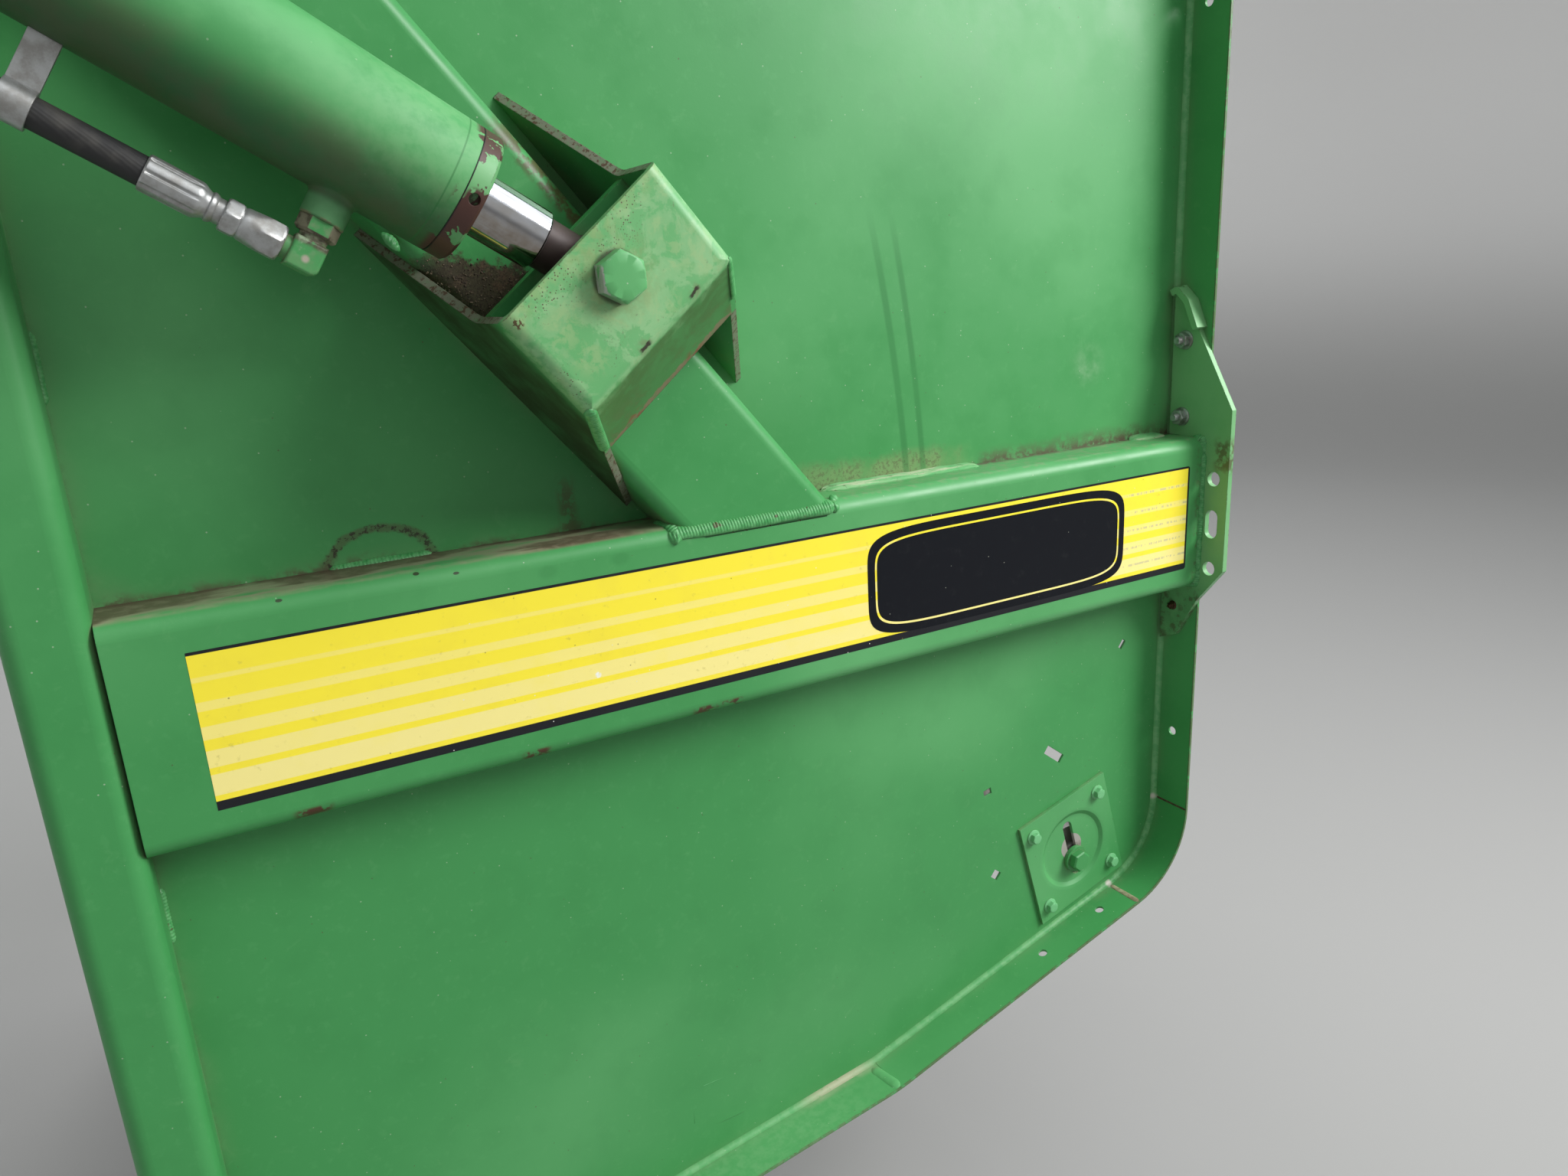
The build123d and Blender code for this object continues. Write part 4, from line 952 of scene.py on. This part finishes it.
def ledge_finish():
    """Scraped paint of the flat welds on the beam's top: pale scratches and dirt."""
    f = Finish("scraped_weld", specular=0.35)
    scratches = f.noise(60.0, 4.0, 0.7, at=f.stretched((0.18, 1.0, 1.0)))
    colour = f.layered(GREEN_FADED, (
        (SCRAPED, f.rise(scratches, 0.40, 0.56)),
        (SCRAPED_PALE, f.rise(scratches, 0.53, 0.60, 0.0, 0.85)),
        (SOIL, f.rise(f.noise(160.0, 4.0, 0.65), 0.60, 0.66, 0.0, 0.7))))
    return f.done(colour, 0.5, f.bump(scratches, 0.0003))


def clouded(name, light, deep, grain=150.0):
    """Two shades in clouds, for rust, bare metal and soil."""
    f = Finish(name)
    cloud = f.noise(grain, 4.0, 0.65)
    colour = f.tint(f.rise(cloud, 0.38, 0.62), light, deep)
    return f.done(colour, f.rise(cloud, 0.3, 0.7, 0.45, 0.75), f.bump(cloud, 0.0003))


def floor_finish():
    """Matt pale grey, paler up the wall, so that the wall looks as light as the floor."""
    f = Finish("floor", specular=0.25)
    glow = f.tint(f.rise(f.z, FLOOR_Z, FLOOR_Z + 1.8), (0.0, 0.0, 0.0), (1.0, 1.0, 1.0))
    f.tree.links.new(glow, f.shader.inputs["Emission Color"])
    f.shader.inputs["Emission Strength"].default_value = WALL_GLOW
    colour = f.layered(FLOOR, ((FLOOR_CLOUD, f.noise(1.5, 3.0), 0.10),
                               (WALL, f.rise(f.z, FLOOR_Z, FLOOR_Z + 3.0))))
    return f.done(colour, 0.75)


def paint_nodes():
    """Gives each CAD node the finish of its piece."""
    kinds = {
        "sheet": enamel("enamel_sheet", fade=0.60, dust=0.25, marks=sheet_marks, dullness=0.04,
                        relief=sheet_waves),
        "flange": enamel("enamel_flange", fade=0.80, dust=0.45, chips=0.45, marks=flange_marks),
        "beam": enamel("enamel_beam", fade=0.75, dust=0.25, marks=beam_marks),
        "brace": enamel("enamel_brace", fade=0.45, dust=0.45, marks=brace_marks),
        "bracket": enamel("enamel_bracket", fade=0.70, dust=0.40, chips=0.60,
                          marks=bracket_marks, specks=0.2, dullness=0.06),
        "elbow": enamel("enamel_elbow", fade=0.60, dust=0.6, chips=1.0, marks=elbow_marks,
                        chip_colour=ELBOW_CHIP),
        "roll_plate": enamel("enamel_roll_plate", fade=1.1, dust=0.5, marks=roll_plate_marks,
                             relief=dish_relief),
        "rear_plate": enamel("enamel_rear_plate", fade=1.0, dust=0.5, chips=0.5,
                             marks=rear_plate_marks),
        "gland": enamel("enamel_gland", fade=0.45, chips=0.8, marks=gland_marks, chip_colour=PRIMER),
        "barrel": BARREL_ENAMEL, "rod": CHROME, "hose_fittings": FITTING_ZINC, "hose": rubber(),
        "hose_clamps": zinc("zinc_clamps"), "roll": ROLLED_STEEL, "shaft": ROLLED_STEEL,
    }
    general = enamel("enamel_general", fade=0.5, dust=0.4, chips=0.4)
    for name, node in NODES.items():
        kind = name.rsplit("_", 1)[0] if name.endswith(tuple(SIDES)) else name.split("_")[0]
        if name.startswith("roll_bolt"):
            kind = "bolt"
        node.data.materials.clear()
        node.data.materials.append(kinds.get(kind, general))


# Pieces

def stripe():
    """Film on the beam's face: a flat grid with rounded rear corners, a quarter millimetre thick."""
    start = STRIPE_REAR - STRIPE_CORNER
    x = np.concatenate([np.linspace(STRIPE_FRONT, start, 60),
                        start + STRIPE_CORNER * np.sin(np.linspace(0.1, np.pi / 2, 8))])
    past = np.clip(x - start, 0, 1)
    inset = STRIPE_CORNER - np.sqrt(np.clip(STRIPE_CORNER ** 2 - past ** 2, 0, 1))
    low, high = STRIPE_LOW + inset, STRIPE_TOP - inset
    z = low[:, None] + np.linspace(0, 1, 8) * (high - low)[:, None]
    out = np.full_like(z, BEAM_OUT + 0.00025)
    grid = np.stack([np.broadcast_to(x[:, None], z.shape), out, z], -1)
    piece("stripe", [grid], STRIPE_FILM, around=(False, False), open_towards=(0, 1, 0))


def number_panel():
    """Plain black panel with rounded corners, left without figures, and a thin yellow line in it.

    Its outline is a superellipse of the sixth power.
    """
    turn = circle(160)
    c, s = np.cos(turn), np.sin(turn)
    power = 2 / 6.0
    ox, oz = np.sign(c) * np.abs(c) ** power, np.sign(s) * np.abs(s) ** power

    def ring(margin, out):
        length, height = (max(half - margin, 0) for half in PANEL_HALF)
        return np.stack([PANEL_AT[0] + length * ox, np.full_like(ox, BEAM_OUT + out),
                         PANEL_AT[1] + height * oz], -1)
    panel = np.array([ring(0, 0.0002), ring(0, 0.0005), ring(max(PANEL_HALF), 0.0005)])
    line = np.array([ring(0.010, 0.00075), ring(0.0125, 0.00075)])
    piece("number_panel", [panel], PANEL_FILM, open_towards=(0, 1, 0))
    piece("number_panel_line", [line], STRIPE_FILM, open_towards=(0, 1, 0))


def cylinder_rod():
    """Rod turned about its axis: neck, bevel, chrome and piston; and the eye at the pin."""
    neck, chrome, piston, bevel = 0.0215, 0.0254, 0.04445, 0.002
    inner, end = 0.4845, 0.5295
    profile = [(0, 0), (neck, 0), (neck, NECK_END), (chrome - bevel, NECK_END),
               (chrome, NECK_END + bevel), (chrome, inner), (piston, inner), (piston, end), (0, end)]
    piece("cylinder_rod", [on_cylinder(turned(profile, 128)), eye(0.037, 0.052, 0.0)], CHROME,
          body="rod", replaces="rod")


def port_boss(along):
    """Round boss on the barrel: its foot flares by a quarter circle that follows the barrel's
    round, whose height is the root of its radius squared less the place out squared."""
    radius, root, bore, lip = 0.0165, 0.004, 0.008, 0.001
    foot, seat = 0.047, 0.0545
    turn = circle(72)

    def row(r, height=None, above=0.0):
        on_barrel = np.sqrt(BARREL_RADIUS ** 2 - (r * np.sin(turn)) ** 2) + above
        up = on_barrel if height is None else np.full_like(turn, height)
        return np.stack([up, r * np.sin(turn), r * np.cos(turn)], -1)
    rows = [row(0, foot), row(radius + root, foot), row(radius + root, above=-0.0004)]
    rows += [row(radius + root * (1 - math.sin(q)), above=root * (1 - math.cos(q)))
             for q in circle(7, 0.25, closed=True)]
    rows += [row(radius, PORT_TOP - lip), row(radius - lip, PORT_TOP), row(bore, PORT_TOP),
             row(bore, seat), row(0, seat)]
    return on_cylinder(np.array(rows), along)


def cylinder_barrel():
    """Barrel turned about its axis, with the weld at its base cap, two port bosses and the eye."""
    bore, cap, neck, swell = 0.0445, 0.623, 0.028, 0.007
    edge, far_edge = 0.0006, 0.0015
    weld = [(neck + swell * (1 - math.sin(q)), BARREL_END + swell * (1 - math.cos(q)))
            for q in circle(7, 0.25, closed=True)]
    profile = [(0, cap), (bore, cap), (bore, BARREL_START), (BARREL_RADIUS - edge, BARREL_START),
               (BARREL_RADIUS, BARREL_START + edge), (BARREL_RADIUS, BARREL_END - far_edge),
               (BARREL_RADIUS - far_edge, BARREL_END)] + weld + [(neck, BASE_EYE), (0, BASE_EYE)]
    grids = [on_cylinder(turned(profile, 160)), eye(0.038, 0.060, BASE_EYE), port_boss(PORT_AT),
             port_boss(BASE_PORT_AT)]
    piece("cylinder_barrel", grids, BARREL_ENAMEL, body="barrel", replaces="barrel")


def ferrule(start, length, radius):
    """Crimped ferrule: a turned shoulder, then a bar with grooves, each a bell of the distance
    round from its middle, which fade in and out along it."""
    turn, pitch = circle(192), 2 * np.pi / 8
    shoulder = [(0.0, 0.0), (0.0, 0.0095), (0.0008, 0.0104), (0.0030, 0.0112), (0.0042, 0.0112),
                (0.0052, 0.0101), (0.0064, 0.0103), (0.0090, 0.0118), (0.0115, radius - 0.0003),
                (0.0130, radius)]
    bar = [(height, radius) for height in np.linspace(0.0145, length - 0.0012, 14)]
    heights, reach = np.array(shoulder + bar + [(length, radius - 0.001), (length, 0.0)]).T
    away = ((turn + pitch / 2) % pitch - pitch / 2) * radius
    fade_in = np.clip((heights - 0.010) / 0.008, 0, 1)
    depth = 0.0015 * fade_in * np.clip((length - heights) / 0.003, 0, 1)
    r = reach[:, None] - depth[:, None] * np.exp(-(away / 0.0014) ** 4)[None]
    return rings(np.clip(r, 0, None), start + heights, turn)


def hose_ends():
    """Fittings of the hose's two ends: swivel nut, collar, neck and crimped ferrule."""
    swivel, collar, neck, crimp = 0.030, 0.012, 0.005, 0.048
    total = swivel + collar + neck + crimp
    nut = np.array([(0, 12.4), (1.2, 13.6), (2.6, 15.1), (12, 15.1), (15, 14.7), (18, 13.9),
                    (21, 13.2), (24, 12.8), (27, 12.6), (28.5, 12.3), (30, 11.4)]) / 1000
    ring = np.array([(0, 11.6), (0.9, 12.9), (2.2, 13.9), (9.8, 13.9), (11.1, 12.9),
                     (12, 11.6)]) / 1000
    waist_end = total - crimp + 0.001
    waist = [(0, swivel + collar), (0.0095, swivel + collar), (0.0095, waist_end), (0, waist_end)]
    shapes = [limited_hexagon(0.026, *nut.T), limited_hexagon(0.024, swivel + ring[:, 0], ring[:, 1]),
              turned(waist, 64), ferrule(swivel + collar + neck, crimp, 0.0135)]
    first = PORT_AT + ELBOW_REACH
    ends = ((first, 1), (first + 2 * total + HOSE_LENGTH, -1))
    grids = [on_cylinder(shape * np.array([1, 1, way]), start, HOSE_OUT)
             for start, way in ends for shape in shapes]
    piece("hose_ends", grids, FITTING_ZINC, body="barrel", replaces="hose_fittings")


def soil_grains():
    """Grains of soil caked on the brace: squashed five-sided lumps at seeded places."""
    rng = np.random.default_rng(11)
    along = rng.uniform(-0.105, 0.018, 900)
    across = rng.uniform(-0.088, -0.008, 900)
    kept = across - SOIL_SLOPE * along + rng.normal(0, 0.006, 900) < 0.002
    along, across = along[kept], across[kept]
    size = rng.uniform(0.0004, 0.0011, along.size) * rng.choice([0.6, 1.0, 1.25], along.size)
    shape = rings(np.tile([[0.0], [1.0], [0.0]], 5), [-0.5, 0, 0.6], circle(5))
    lumps = shape[None] * size[:, None, None, None] * rng.uniform(0.6, 1.2, (size.size, 3, 5, 1))
    places = brace_point(along[:, None, None] + lumps[..., 0], across[:, None, None] + lumps[..., 1],
                         BEAM_OUT + 0.0002 + lumps[..., 2])
    piece("soil_grains", [np.stack(places, -1)], GRAINS, sharp=None)


def rod_bolt():
    """Bolt through the bracket, the rod's eye and the lug: chamfered head, shank and nut."""
    flats, head, shank, nut, tip = 0.0381, 0.016, 0.0127, 0.022, 0.002
    turn = math.radians(3)
    end = LUG_FACE - nut - 0.008 - BRACKET_TOP
    body = turned([(0, 0), (shank, 0), (shank, end), (shank - tip, end - tip), (0, end - tip)])
    under = hexagon_head(flats, nut) * np.array([1, 1, -1])
    grids = [seated(hexagon_head(flats, head), *PIN, BRACKET_TOP, turn),
             seated(body, *PIN, BRACKET_TOP), seated(under, *PIN, LUG_FACE, turn)]
    piece("rod_bolt", grids, BOLT_ENAMEL, replaces="rod_pin")


def roll_plate_bolts():
    """Four flange-head bolts at the corners of the lower rear roll's plate."""
    spread = 0.065
    head = hexagon_head(0.0145, 0.0095, skirt=0.0112, skirt_height=0.0024)
    corners = spread * np.array([(-1, -1), (-1, 1), (1, -1), (1, 1)])
    c, s = math.cos(LOWER_SLOPE), math.sin(LOWER_SLOPE)
    turned_about = corners @ np.array([(c, s), (-s, c)]) + ROLL_PLATE_AT
    grids = [seated(head, x, z, 0.005, 0.7 * k) for k, (x, z) in enumerate(turned_about)]
    piece("roll_plate_bolts", grids, PAINTED_LIGHT_BOLT_ENAMEL)


def rear_plate_nuts():
    """Nuts with a bolt's end on the rear plate's front face, one smaller and rusty."""
    face = BEAM_HIGH.x
    kinds = {"nuts": (NUT_ZINC, 0.019, ((0, 0.0256, -0.7407), (1, 0.0255, -0.8453))),
             "rusty_nut": (RUSTY_NUT, 0.010, ((2, 0.0262, -1.1206),))}
    for kind, (finish, flats, places) in kinds.items():
        nut = hexagon_head(flats, flats * 0.60, skirt=flats * 0.68, skirt_height=0.002, steps=36)
        stub = turned([(0, 0), (flats * 0.3, 0), (flats * 0.3, flats * 0.85),
                       (flats * 0.24, flats * 0.95), (0, flats * 0.95)], 24)
        grids = []
        for turn, out, z in places:
            for shape in (nut, stub):
                local = seated(shape, out, z, 0.0, 0.5 * turn)
                grids.append(np.stack([face - local[..., 1], local[..., 0], local[..., 2]], -1))
        piece(f"rear_plate_{kind}", grids, finish)


def weld_runs():
    """Runs of the beads as (path, facing, width, height), in side coordinates."""
    top, end = BEAM_HIGH.z, BEAM_HIGH.x
    near, far = BRACE_SIDES
    foot = brace_point(0.2545, near, 0)[0]
    toe = brace_point(0.372, far, 0)[0]
    corner = BEAM_OUT - 0.003
    c, s = math.cos(BRACE_ANGLE), math.sin(BRACE_ANGLE)
    upward, over = (0, 0.75, 0.66), (-s * 0.7, 0.7, c * 0.7)
    runs = [
        ([(foot - 0.004, 0.020, top), (foot - 0.004, 0.056, top - 0.001),
          (foot - 0.002, corner, top - 0.006), (toe + 0.006, corner, top - 0.006)],
         upward, 0.017, 0.0075),
        ([(toe - 0.004, corner + 0.001, top - 0.007), (toe + 0.010, corner + 0.001, top - 0.007)],
         upward, 0.017, 0.0080),
        ([(toe + 0.003, corner - 0.006, top - 0.002), (toe + 0.016, corner - 0.014, top + 0.001)],
         (0.2, 0.6, 0.8), 0.013, 0.0055),
        ([(foot - 0.013, corner, top - 0.008), (foot + 0.006, corner + 0.001, top - 0.009)],
         upward, 0.024, 0.0105),
        ([(0.294, 0.001, top), (0.389, 0.001, top)], (0, 0.7, 0.7), 0.010, 0.0045),
        ([(end, BEAM_OUT - 0.022, top), (end, corner - 0.002, top - 0.005),
          (end, BEAM_OUT, top - 0.024)], (-0.6, 0.5, 0.6), 0.019, 0.0095),
        ([(end - 0.001, BEAM_OUT, top - 0.020), (end - 0.001, BEAM_OUT, top - 0.190)],
         (-0.7, 0.7, 0), 0.011, 0.0050),
        ([(end, BEAM_OUT, top - 0.183), (end, corner - 0.001, top - 0.206),
          (end, BEAM_OUT - 0.028, top - 0.213)], (-0.6, 0.5, -0.6), 0.018, 0.0085),
        ([brace_point(-0.136, -0.0905, 0.0672), brace_point(-0.116, -0.0905, 0.0672)],
         over, 0.013, 0.0050),
        ([brace_point(0.0585, -0.0945, 0.1925), brace_point(0.118, -0.0960, 0.1215)],
         (0.64 * c + 0.77 * s, 0.77, 0.64 * s - 0.77 * c), 0.011, 0.0042),
        ([brace_point(0.0590, 0.0890, 0.1920), brace_point(0.105, 0.0900, 0.1380)],
         (0.64 * c - 0.5 * s, 0.77, 0.64 * s + 0.5 * c), 0.009, 0.0028),
    ]
    for a, b in ((-0.140, -0.060), (0.020, 0.090), (0.150, 0.214)):
        runs.append(([brace_point(a, 0.0922, 0.0), brace_point(b, 0.0922, 0.0)], over, 0.010, 0.0045))
    for a, b in ((-0.480, -0.400), (-0.330, -0.260)):
        for across, sign in ((near - 0.0002, -1), (far + 0.0002, 1)):
            facing = (sign * over[0], over[1], sign * over[2])
            runs.append(([brace_point(a, across, 0.0), brace_point(b, across, 0.0)], facing,
                         0.009, 0.0040))
    for z in (-1.55, -1.20, -0.70, -0.35):
        runs.append(([(BEAM_LOW.x, 0.0, z), (BEAM_LOW.x, 0.0, z + 0.06)], (0.7, 0.7, 0), 0.009, 0.004))
    for x in (0.32, 0.62, 0.92, 1.22):
        runs.append(([(x, 0.0, BEAM_LOW.z), (x + 0.06, 0.0, BEAM_LOW.z)], (0, 0.7, -0.7), 0.009, 0.004))
    return runs


def tube_weld_runs(node):
    """Four straight runs round a cross tube's end, on the sheet's inner face."""
    low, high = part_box(node)
    inner, short = -0.0036, 0.008
    corners = [(low.x, low.z), (high.x, low.z), (high.x, high.z), (low.x, high.z)]
    runs = []
    for (x, z), (nx, nz) in zip(corners, corners[1:] + corners[:1]):
        along = np.array([nx - x, 0, nz - z]) / math.hypot(nx - x, nz - z)
        path = [np.array([x, inner, z]) + short * along, np.array([nx, inner, nz]) - short * along]
        runs.append((path, (along[2], -1.0, -along[0]), 0.009, 0.004))
    return runs


def welds():
    """Beads where the channels, bracket, rear plate and cross tubes are welded."""
    runs = weld_runs()
    for node in ("rear_tube", "top_tube", "lower_tube"):
        runs += tube_weld_runs(node)
    grids = [bead(*run, seed=k + 3) for k, run in enumerate(runs)]
    piece("welds", grids, WELD, around=(False, False), sharp=None)


def ledges():
    """Flat scraped welds on the beam's top, in the corner with the sheet."""
    grids = []
    for k, (start, end) in enumerate(((0.832, 1.069), (1.337, 1.404))):
        path = [(start, 0.0075, BEAM_HIGH.z), (end, 0.0075, BEAM_HIGH.z)]
        grids.append(bead(path, (0, 0.12, 0.99), 0.025, 0.0055, seed=k + 40, pitch=0.03,
                          fullness=0.28, ripples=0.10))
    piece("scraped_welds", grids, LEDGE, around=(False, False))


def flange_path():
    """Inner corner between the sheet and the flange, as points and the ways in from the rim."""
    rear, radius = REAR_EDGE - PLATE, CORNER_RADIUS - PLATE
    front_slope = math.atan2(KNEE[1] - FRONT_KNEE[1], KNEE[0] - FRONT_KNEE[0])

    def above(x, slope):
        return KNEE[1] + PLATE / math.cos(slope) + (x - KNEE[0]) * math.tan(slope)
    middle_x = rear - radius
    middle_z = above(middle_x, LOWER_SLOPE) + radius / math.cos(LOWER_SLOPE)
    turn = np.linspace(0, -(np.pi / 2 - LOWER_SLOPE), 20)
    outwards = np.stack([np.cos(turn), np.sin(turn)], -1)
    arc = np.array([middle_x, middle_z]) + radius * outwards
    lower = np.linspace(arc[-1, 0], KNEE[0], 20)
    front = np.linspace(KNEE[0] - 0.03, 0.45, 12)
    points = np.concatenate([np.stack([np.full(30, rear), np.linspace(-0.30, middle_z, 30)], -1),
                             arc[1:], np.stack([lower, above(lower, LOWER_SLOPE)], -1)[1:],
                             np.stack([front, above(front, front_slope)], -1)])
    ways = np.concatenate([np.tile((-1.0, 0.0), (30, 1)), -outwards[1:],
                           np.tile((-math.sin(LOWER_SLOPE), math.cos(LOWER_SLOPE)), (19, 1)),
                           np.tile((-math.sin(front_slope), math.cos(front_slope)), (12, 1))])
    return points, ways


def flange_fillet():
    """Smooth concave fillet in the corner of the sheet and the flange, a quarter circle along it."""
    points, ways = flange_path()
    radius, lift = FILLET_RADIUS, 0.0002
    turn = circle(7, 0.25, closed=True)
    inwards = radius * (1 - np.sin(turn)) + lift
    out = radius * (1 - np.cos(turn)) + lift
    x = points[:, :1] + ways[:, :1] * inwards
    z = points[:, 1:] + ways[:, 1:] * inwards
    grid = np.stack([x, np.broadcast_to(out, x.shape), z], -1)
    piece("flange_fillet", [grid], FILLET, around=(False, False), open_towards=(-0.3, 1, 0.5))


def flange_seams():
    """Filled seams across the flange: a rusty line, a bare strip and a worn one at the knee."""
    inner, outer = FILLET_RADIUS, FLANGE_OUT - 0.0005
    up = (-math.sin(LOWER_SLOPE), 0, math.cos(LOWER_SLOPE))
    seams = (("rusty", (REAR_EDGE, -1.4405), (-1, 0, 0), 0.0035, 0.0008, 0.0, SEAM_RUST),
             ("bare", (1.333, -1.5677), up, 0.0085, 0.0012, 0.0, SEAM_BARE),
             ("worn", KNEE, up, 0.0160, 0.0036, 0.010, SEAM_ENAMEL))
    for k, (name, (x, z), facing, width, height, slant, finish) in enumerate(seams):
        x, z = x + PLATE * facing[0], z + PLATE * facing[2]
        path = [(x - slant, inner, z - slant * math.tan(LOWER_SLOPE)), (x, outer, z)]
        grid = bead(path, facing, width, height, seed=k + 20, pitch=0.012, ripples=0.08)
        piece(f"flange_seam_{name}", [grid], finish, around=(False, False))


# Camera, light and floor

def photo_camera():
    """Camera at the photograph's place, turned by its azimuth, downward pitch and roll."""
    data = bpy.data.cameras.new("camera")
    data.sensor_width = SENSOR
    data.lens = FOCAL_PIXELS / PHOTO_WIDTH * SENSOR
    data.clip_start, data.clip_end = 0.01, 200.0
    made = bpy.data.objects.new("camera", data)
    ca, sa = math.cos(CAMERA_AZIMUTH), math.sin(CAMERA_AZIMUTH)
    cp, sp = math.cos(CAMERA_DOWN), math.sin(CAMERA_DOWN)
    cr, sr = math.cos(CAMERA_ROLL), math.sin(CAMERA_ROLL)
    forward = np.array([cp * ca, cp * sa, -sp])
    level = np.array([sa, -ca, 0.0])
    up = np.cross(level, forward)
    turn = np.eye(4)
    turn[:3] = np.stack([cr * level + sr * up, -sr * level + cr * up, -forward, CAMERA_AT], -1)
    made.matrix_world = Matrix(turn.tolist())
    bpy.context.scene.collection.objects.link(made)
    bpy.context.scene.camera = made


def soft_light(name, at, target, size, power):
    """Round area light turned towards its target."""
    data = bpy.data.lights.new(name, "AREA")
    data.shape, data.size, data.energy = "DISK", size, power
    made = bpy.data.objects.new(name, data)
    made.location = at
    made.rotation_euler = (Vector(target) - Vector(at)).to_track_quat("-Z", "Y").to_euler()
    bpy.context.scene.collection.objects.link(made)


def sky():
    """World light: strong overhead, weaker level, dim from below, and fuller from the rear left."""
    world = bpy.data.worlds.new("studio")
    world.use_nodes = True
    nodes, links = world.node_tree.nodes, world.node_tree.links

    def add(kind, *sources, **settings):
        node = nodes.new("ShaderNode" + kind)
        for key, value in settings.items():
            setattr(node, key, value)
        for socket, source in zip(node.inputs, sources):
            links.new(source, socket)
        return node
    toward = nodes.new("ShaderNodeTexCoord").outputs["Generated"]
    height = add("SeparateXYZ", toward).outputs[2]
    leaning = add("VectorMath", toward, operation="DOT_PRODUCT")
    leaning.inputs[1].default_value = SKY_LEAN
    ramps = []
    for source, *ends in ((height, -0.25, 0.15, SKY_BELOW, SKY_LEVEL),
                          (height, 0.15, 0.90, 0.0, SKY_TOP - SKY_LEVEL),
                          (leaning.outputs["Value"], -0.8, 0.8, 1 - SKY_SIDE, 1 + SKY_SIDE)):
        ramp = add("MapRange", source, interpolation_type="SMOOTHSTEP")
        for key, value in zip(("From Min", "From Max", "To Min", "To Max"), ends):
            ramp.inputs[key].default_value = value
        ramps.append(ramp.outputs[0])
    total = add("Math", ramps[0], ramps[1], operation="ADD").outputs[0]
    sided = add("Math", total, ramps[2], operation="MULTIPLY").outputs[0]
    nodes["Background"].inputs[0].default_value = SKY_COLOUR
    links.new(sided, nodes["Background"].inputs[1])
    bpy.context.scene.world = world


def backdrop():
    """Pale round floor whose rim curves up by a quarter circle into a wall."""
    flat, bend, wall = 7.0, 3.0, 5.6
    rise = circle(16, 0.25, closed=True)
    radius = np.concatenate([[0, 2.5, 5], flat + bend * np.sin(rise), [flat + bend]])
    height = np.concatenate([[0, 0, 0], bend * (1 - np.cos(rise)), [wall]])
    grid = turned(np.stack([radius, height], -1), 96) + np.array([0.7, 0, FLOOR_Z])
    mesh = bpy.data.meshes.new("backdrop")
    faces = grid_faces(*grid.shape[:2], round_columns=True)
    mesh.from_pydata(grid.reshape(-1, 3).tolist(), [], faces.tolist())
    mesh.polygons.foreach_set("use_smooth", np.full(len(mesh.polygons), True))
    mesh.materials.append(floor_finish())
    made = bpy.data.objects.new("backdrop", mesh)
    bpy.context.scene.collection.objects.link(made)


STRIPE_FILM = stripe_finish()
PANEL_FILM = panel_finish()
# Painted light: the small bolts' enamel made paler all over.
PAINTED_LIGHT_BOLT_ENAMEL = enamel("enamel_small_bolts_painted_light", fade=1.4, dust=0.2, specks=0.1,
                           marks=small_bolt_painted_light)
BOLT_ENAMEL = enamel("enamel_bolts", fade=1.1, dust=0.5, chips=0.9, specks=0.2,
                     chip_colour=BARE_STEEL, marks=bolt_marks)
BARREL_ENAMEL = enamel("enamel_barrel", fade=0.50, dust=0.5, marks=barrel_marks, dullness=0.12)
FILLET = enamel("enamel_fillet", fade=1.0, dust=0.3, specks=0.1, marks=fillet_marks)
SEAM_ENAMEL = enamel("enamel_seam", fade=1.2, dust=0.8, chips=1.1, specks=0.2,
                     chip_colour=SEAM_CHIP)
SEAM_RUST = clouded("seam_rust", (0.10, 0.05, 0.03), (0.03, 0.015, 0.01))
SEAM_BARE = clouded("seam_bare", (0.34, 0.33, 0.20), (0.17, 0.13, 0.075), grain=60.0)
GRAINS = clouded("soil_grains", (0.150, 0.110, 0.068), (0.050, 0.031, 0.020))
CHROME = rod_finish()
FITTING_ZINC = zinc("zinc_fittings")
NUT_ZINC = zinc("zinc_nuts", deep=(0.20, 0.19, 0.17))
RUSTY_NUT = zinc("rusty_nuts", (0.10, 0.045, 0.025), (0.045, 0.02, 0.012))
ROLLED_STEEL = rolled_steel()
WELD = weld_finish()
LEDGE = ledge_finish()

paint_nodes()
for make in (stripe, number_panel, cylinder_rod, cylinder_barrel, hose_ends, rod_bolt, soil_grains,
             roll_plate_bolts, rear_plate_nuts, welds, ledges, flange_fillet, flange_seams):
    make()
photo_camera()
sky()
backdrop()
soft_light("key", **KEY_LIGHT)
soft_light("far_side", **FAR_LIGHT)
bpy.context.scene.view_settings.view_transform = "Standard"
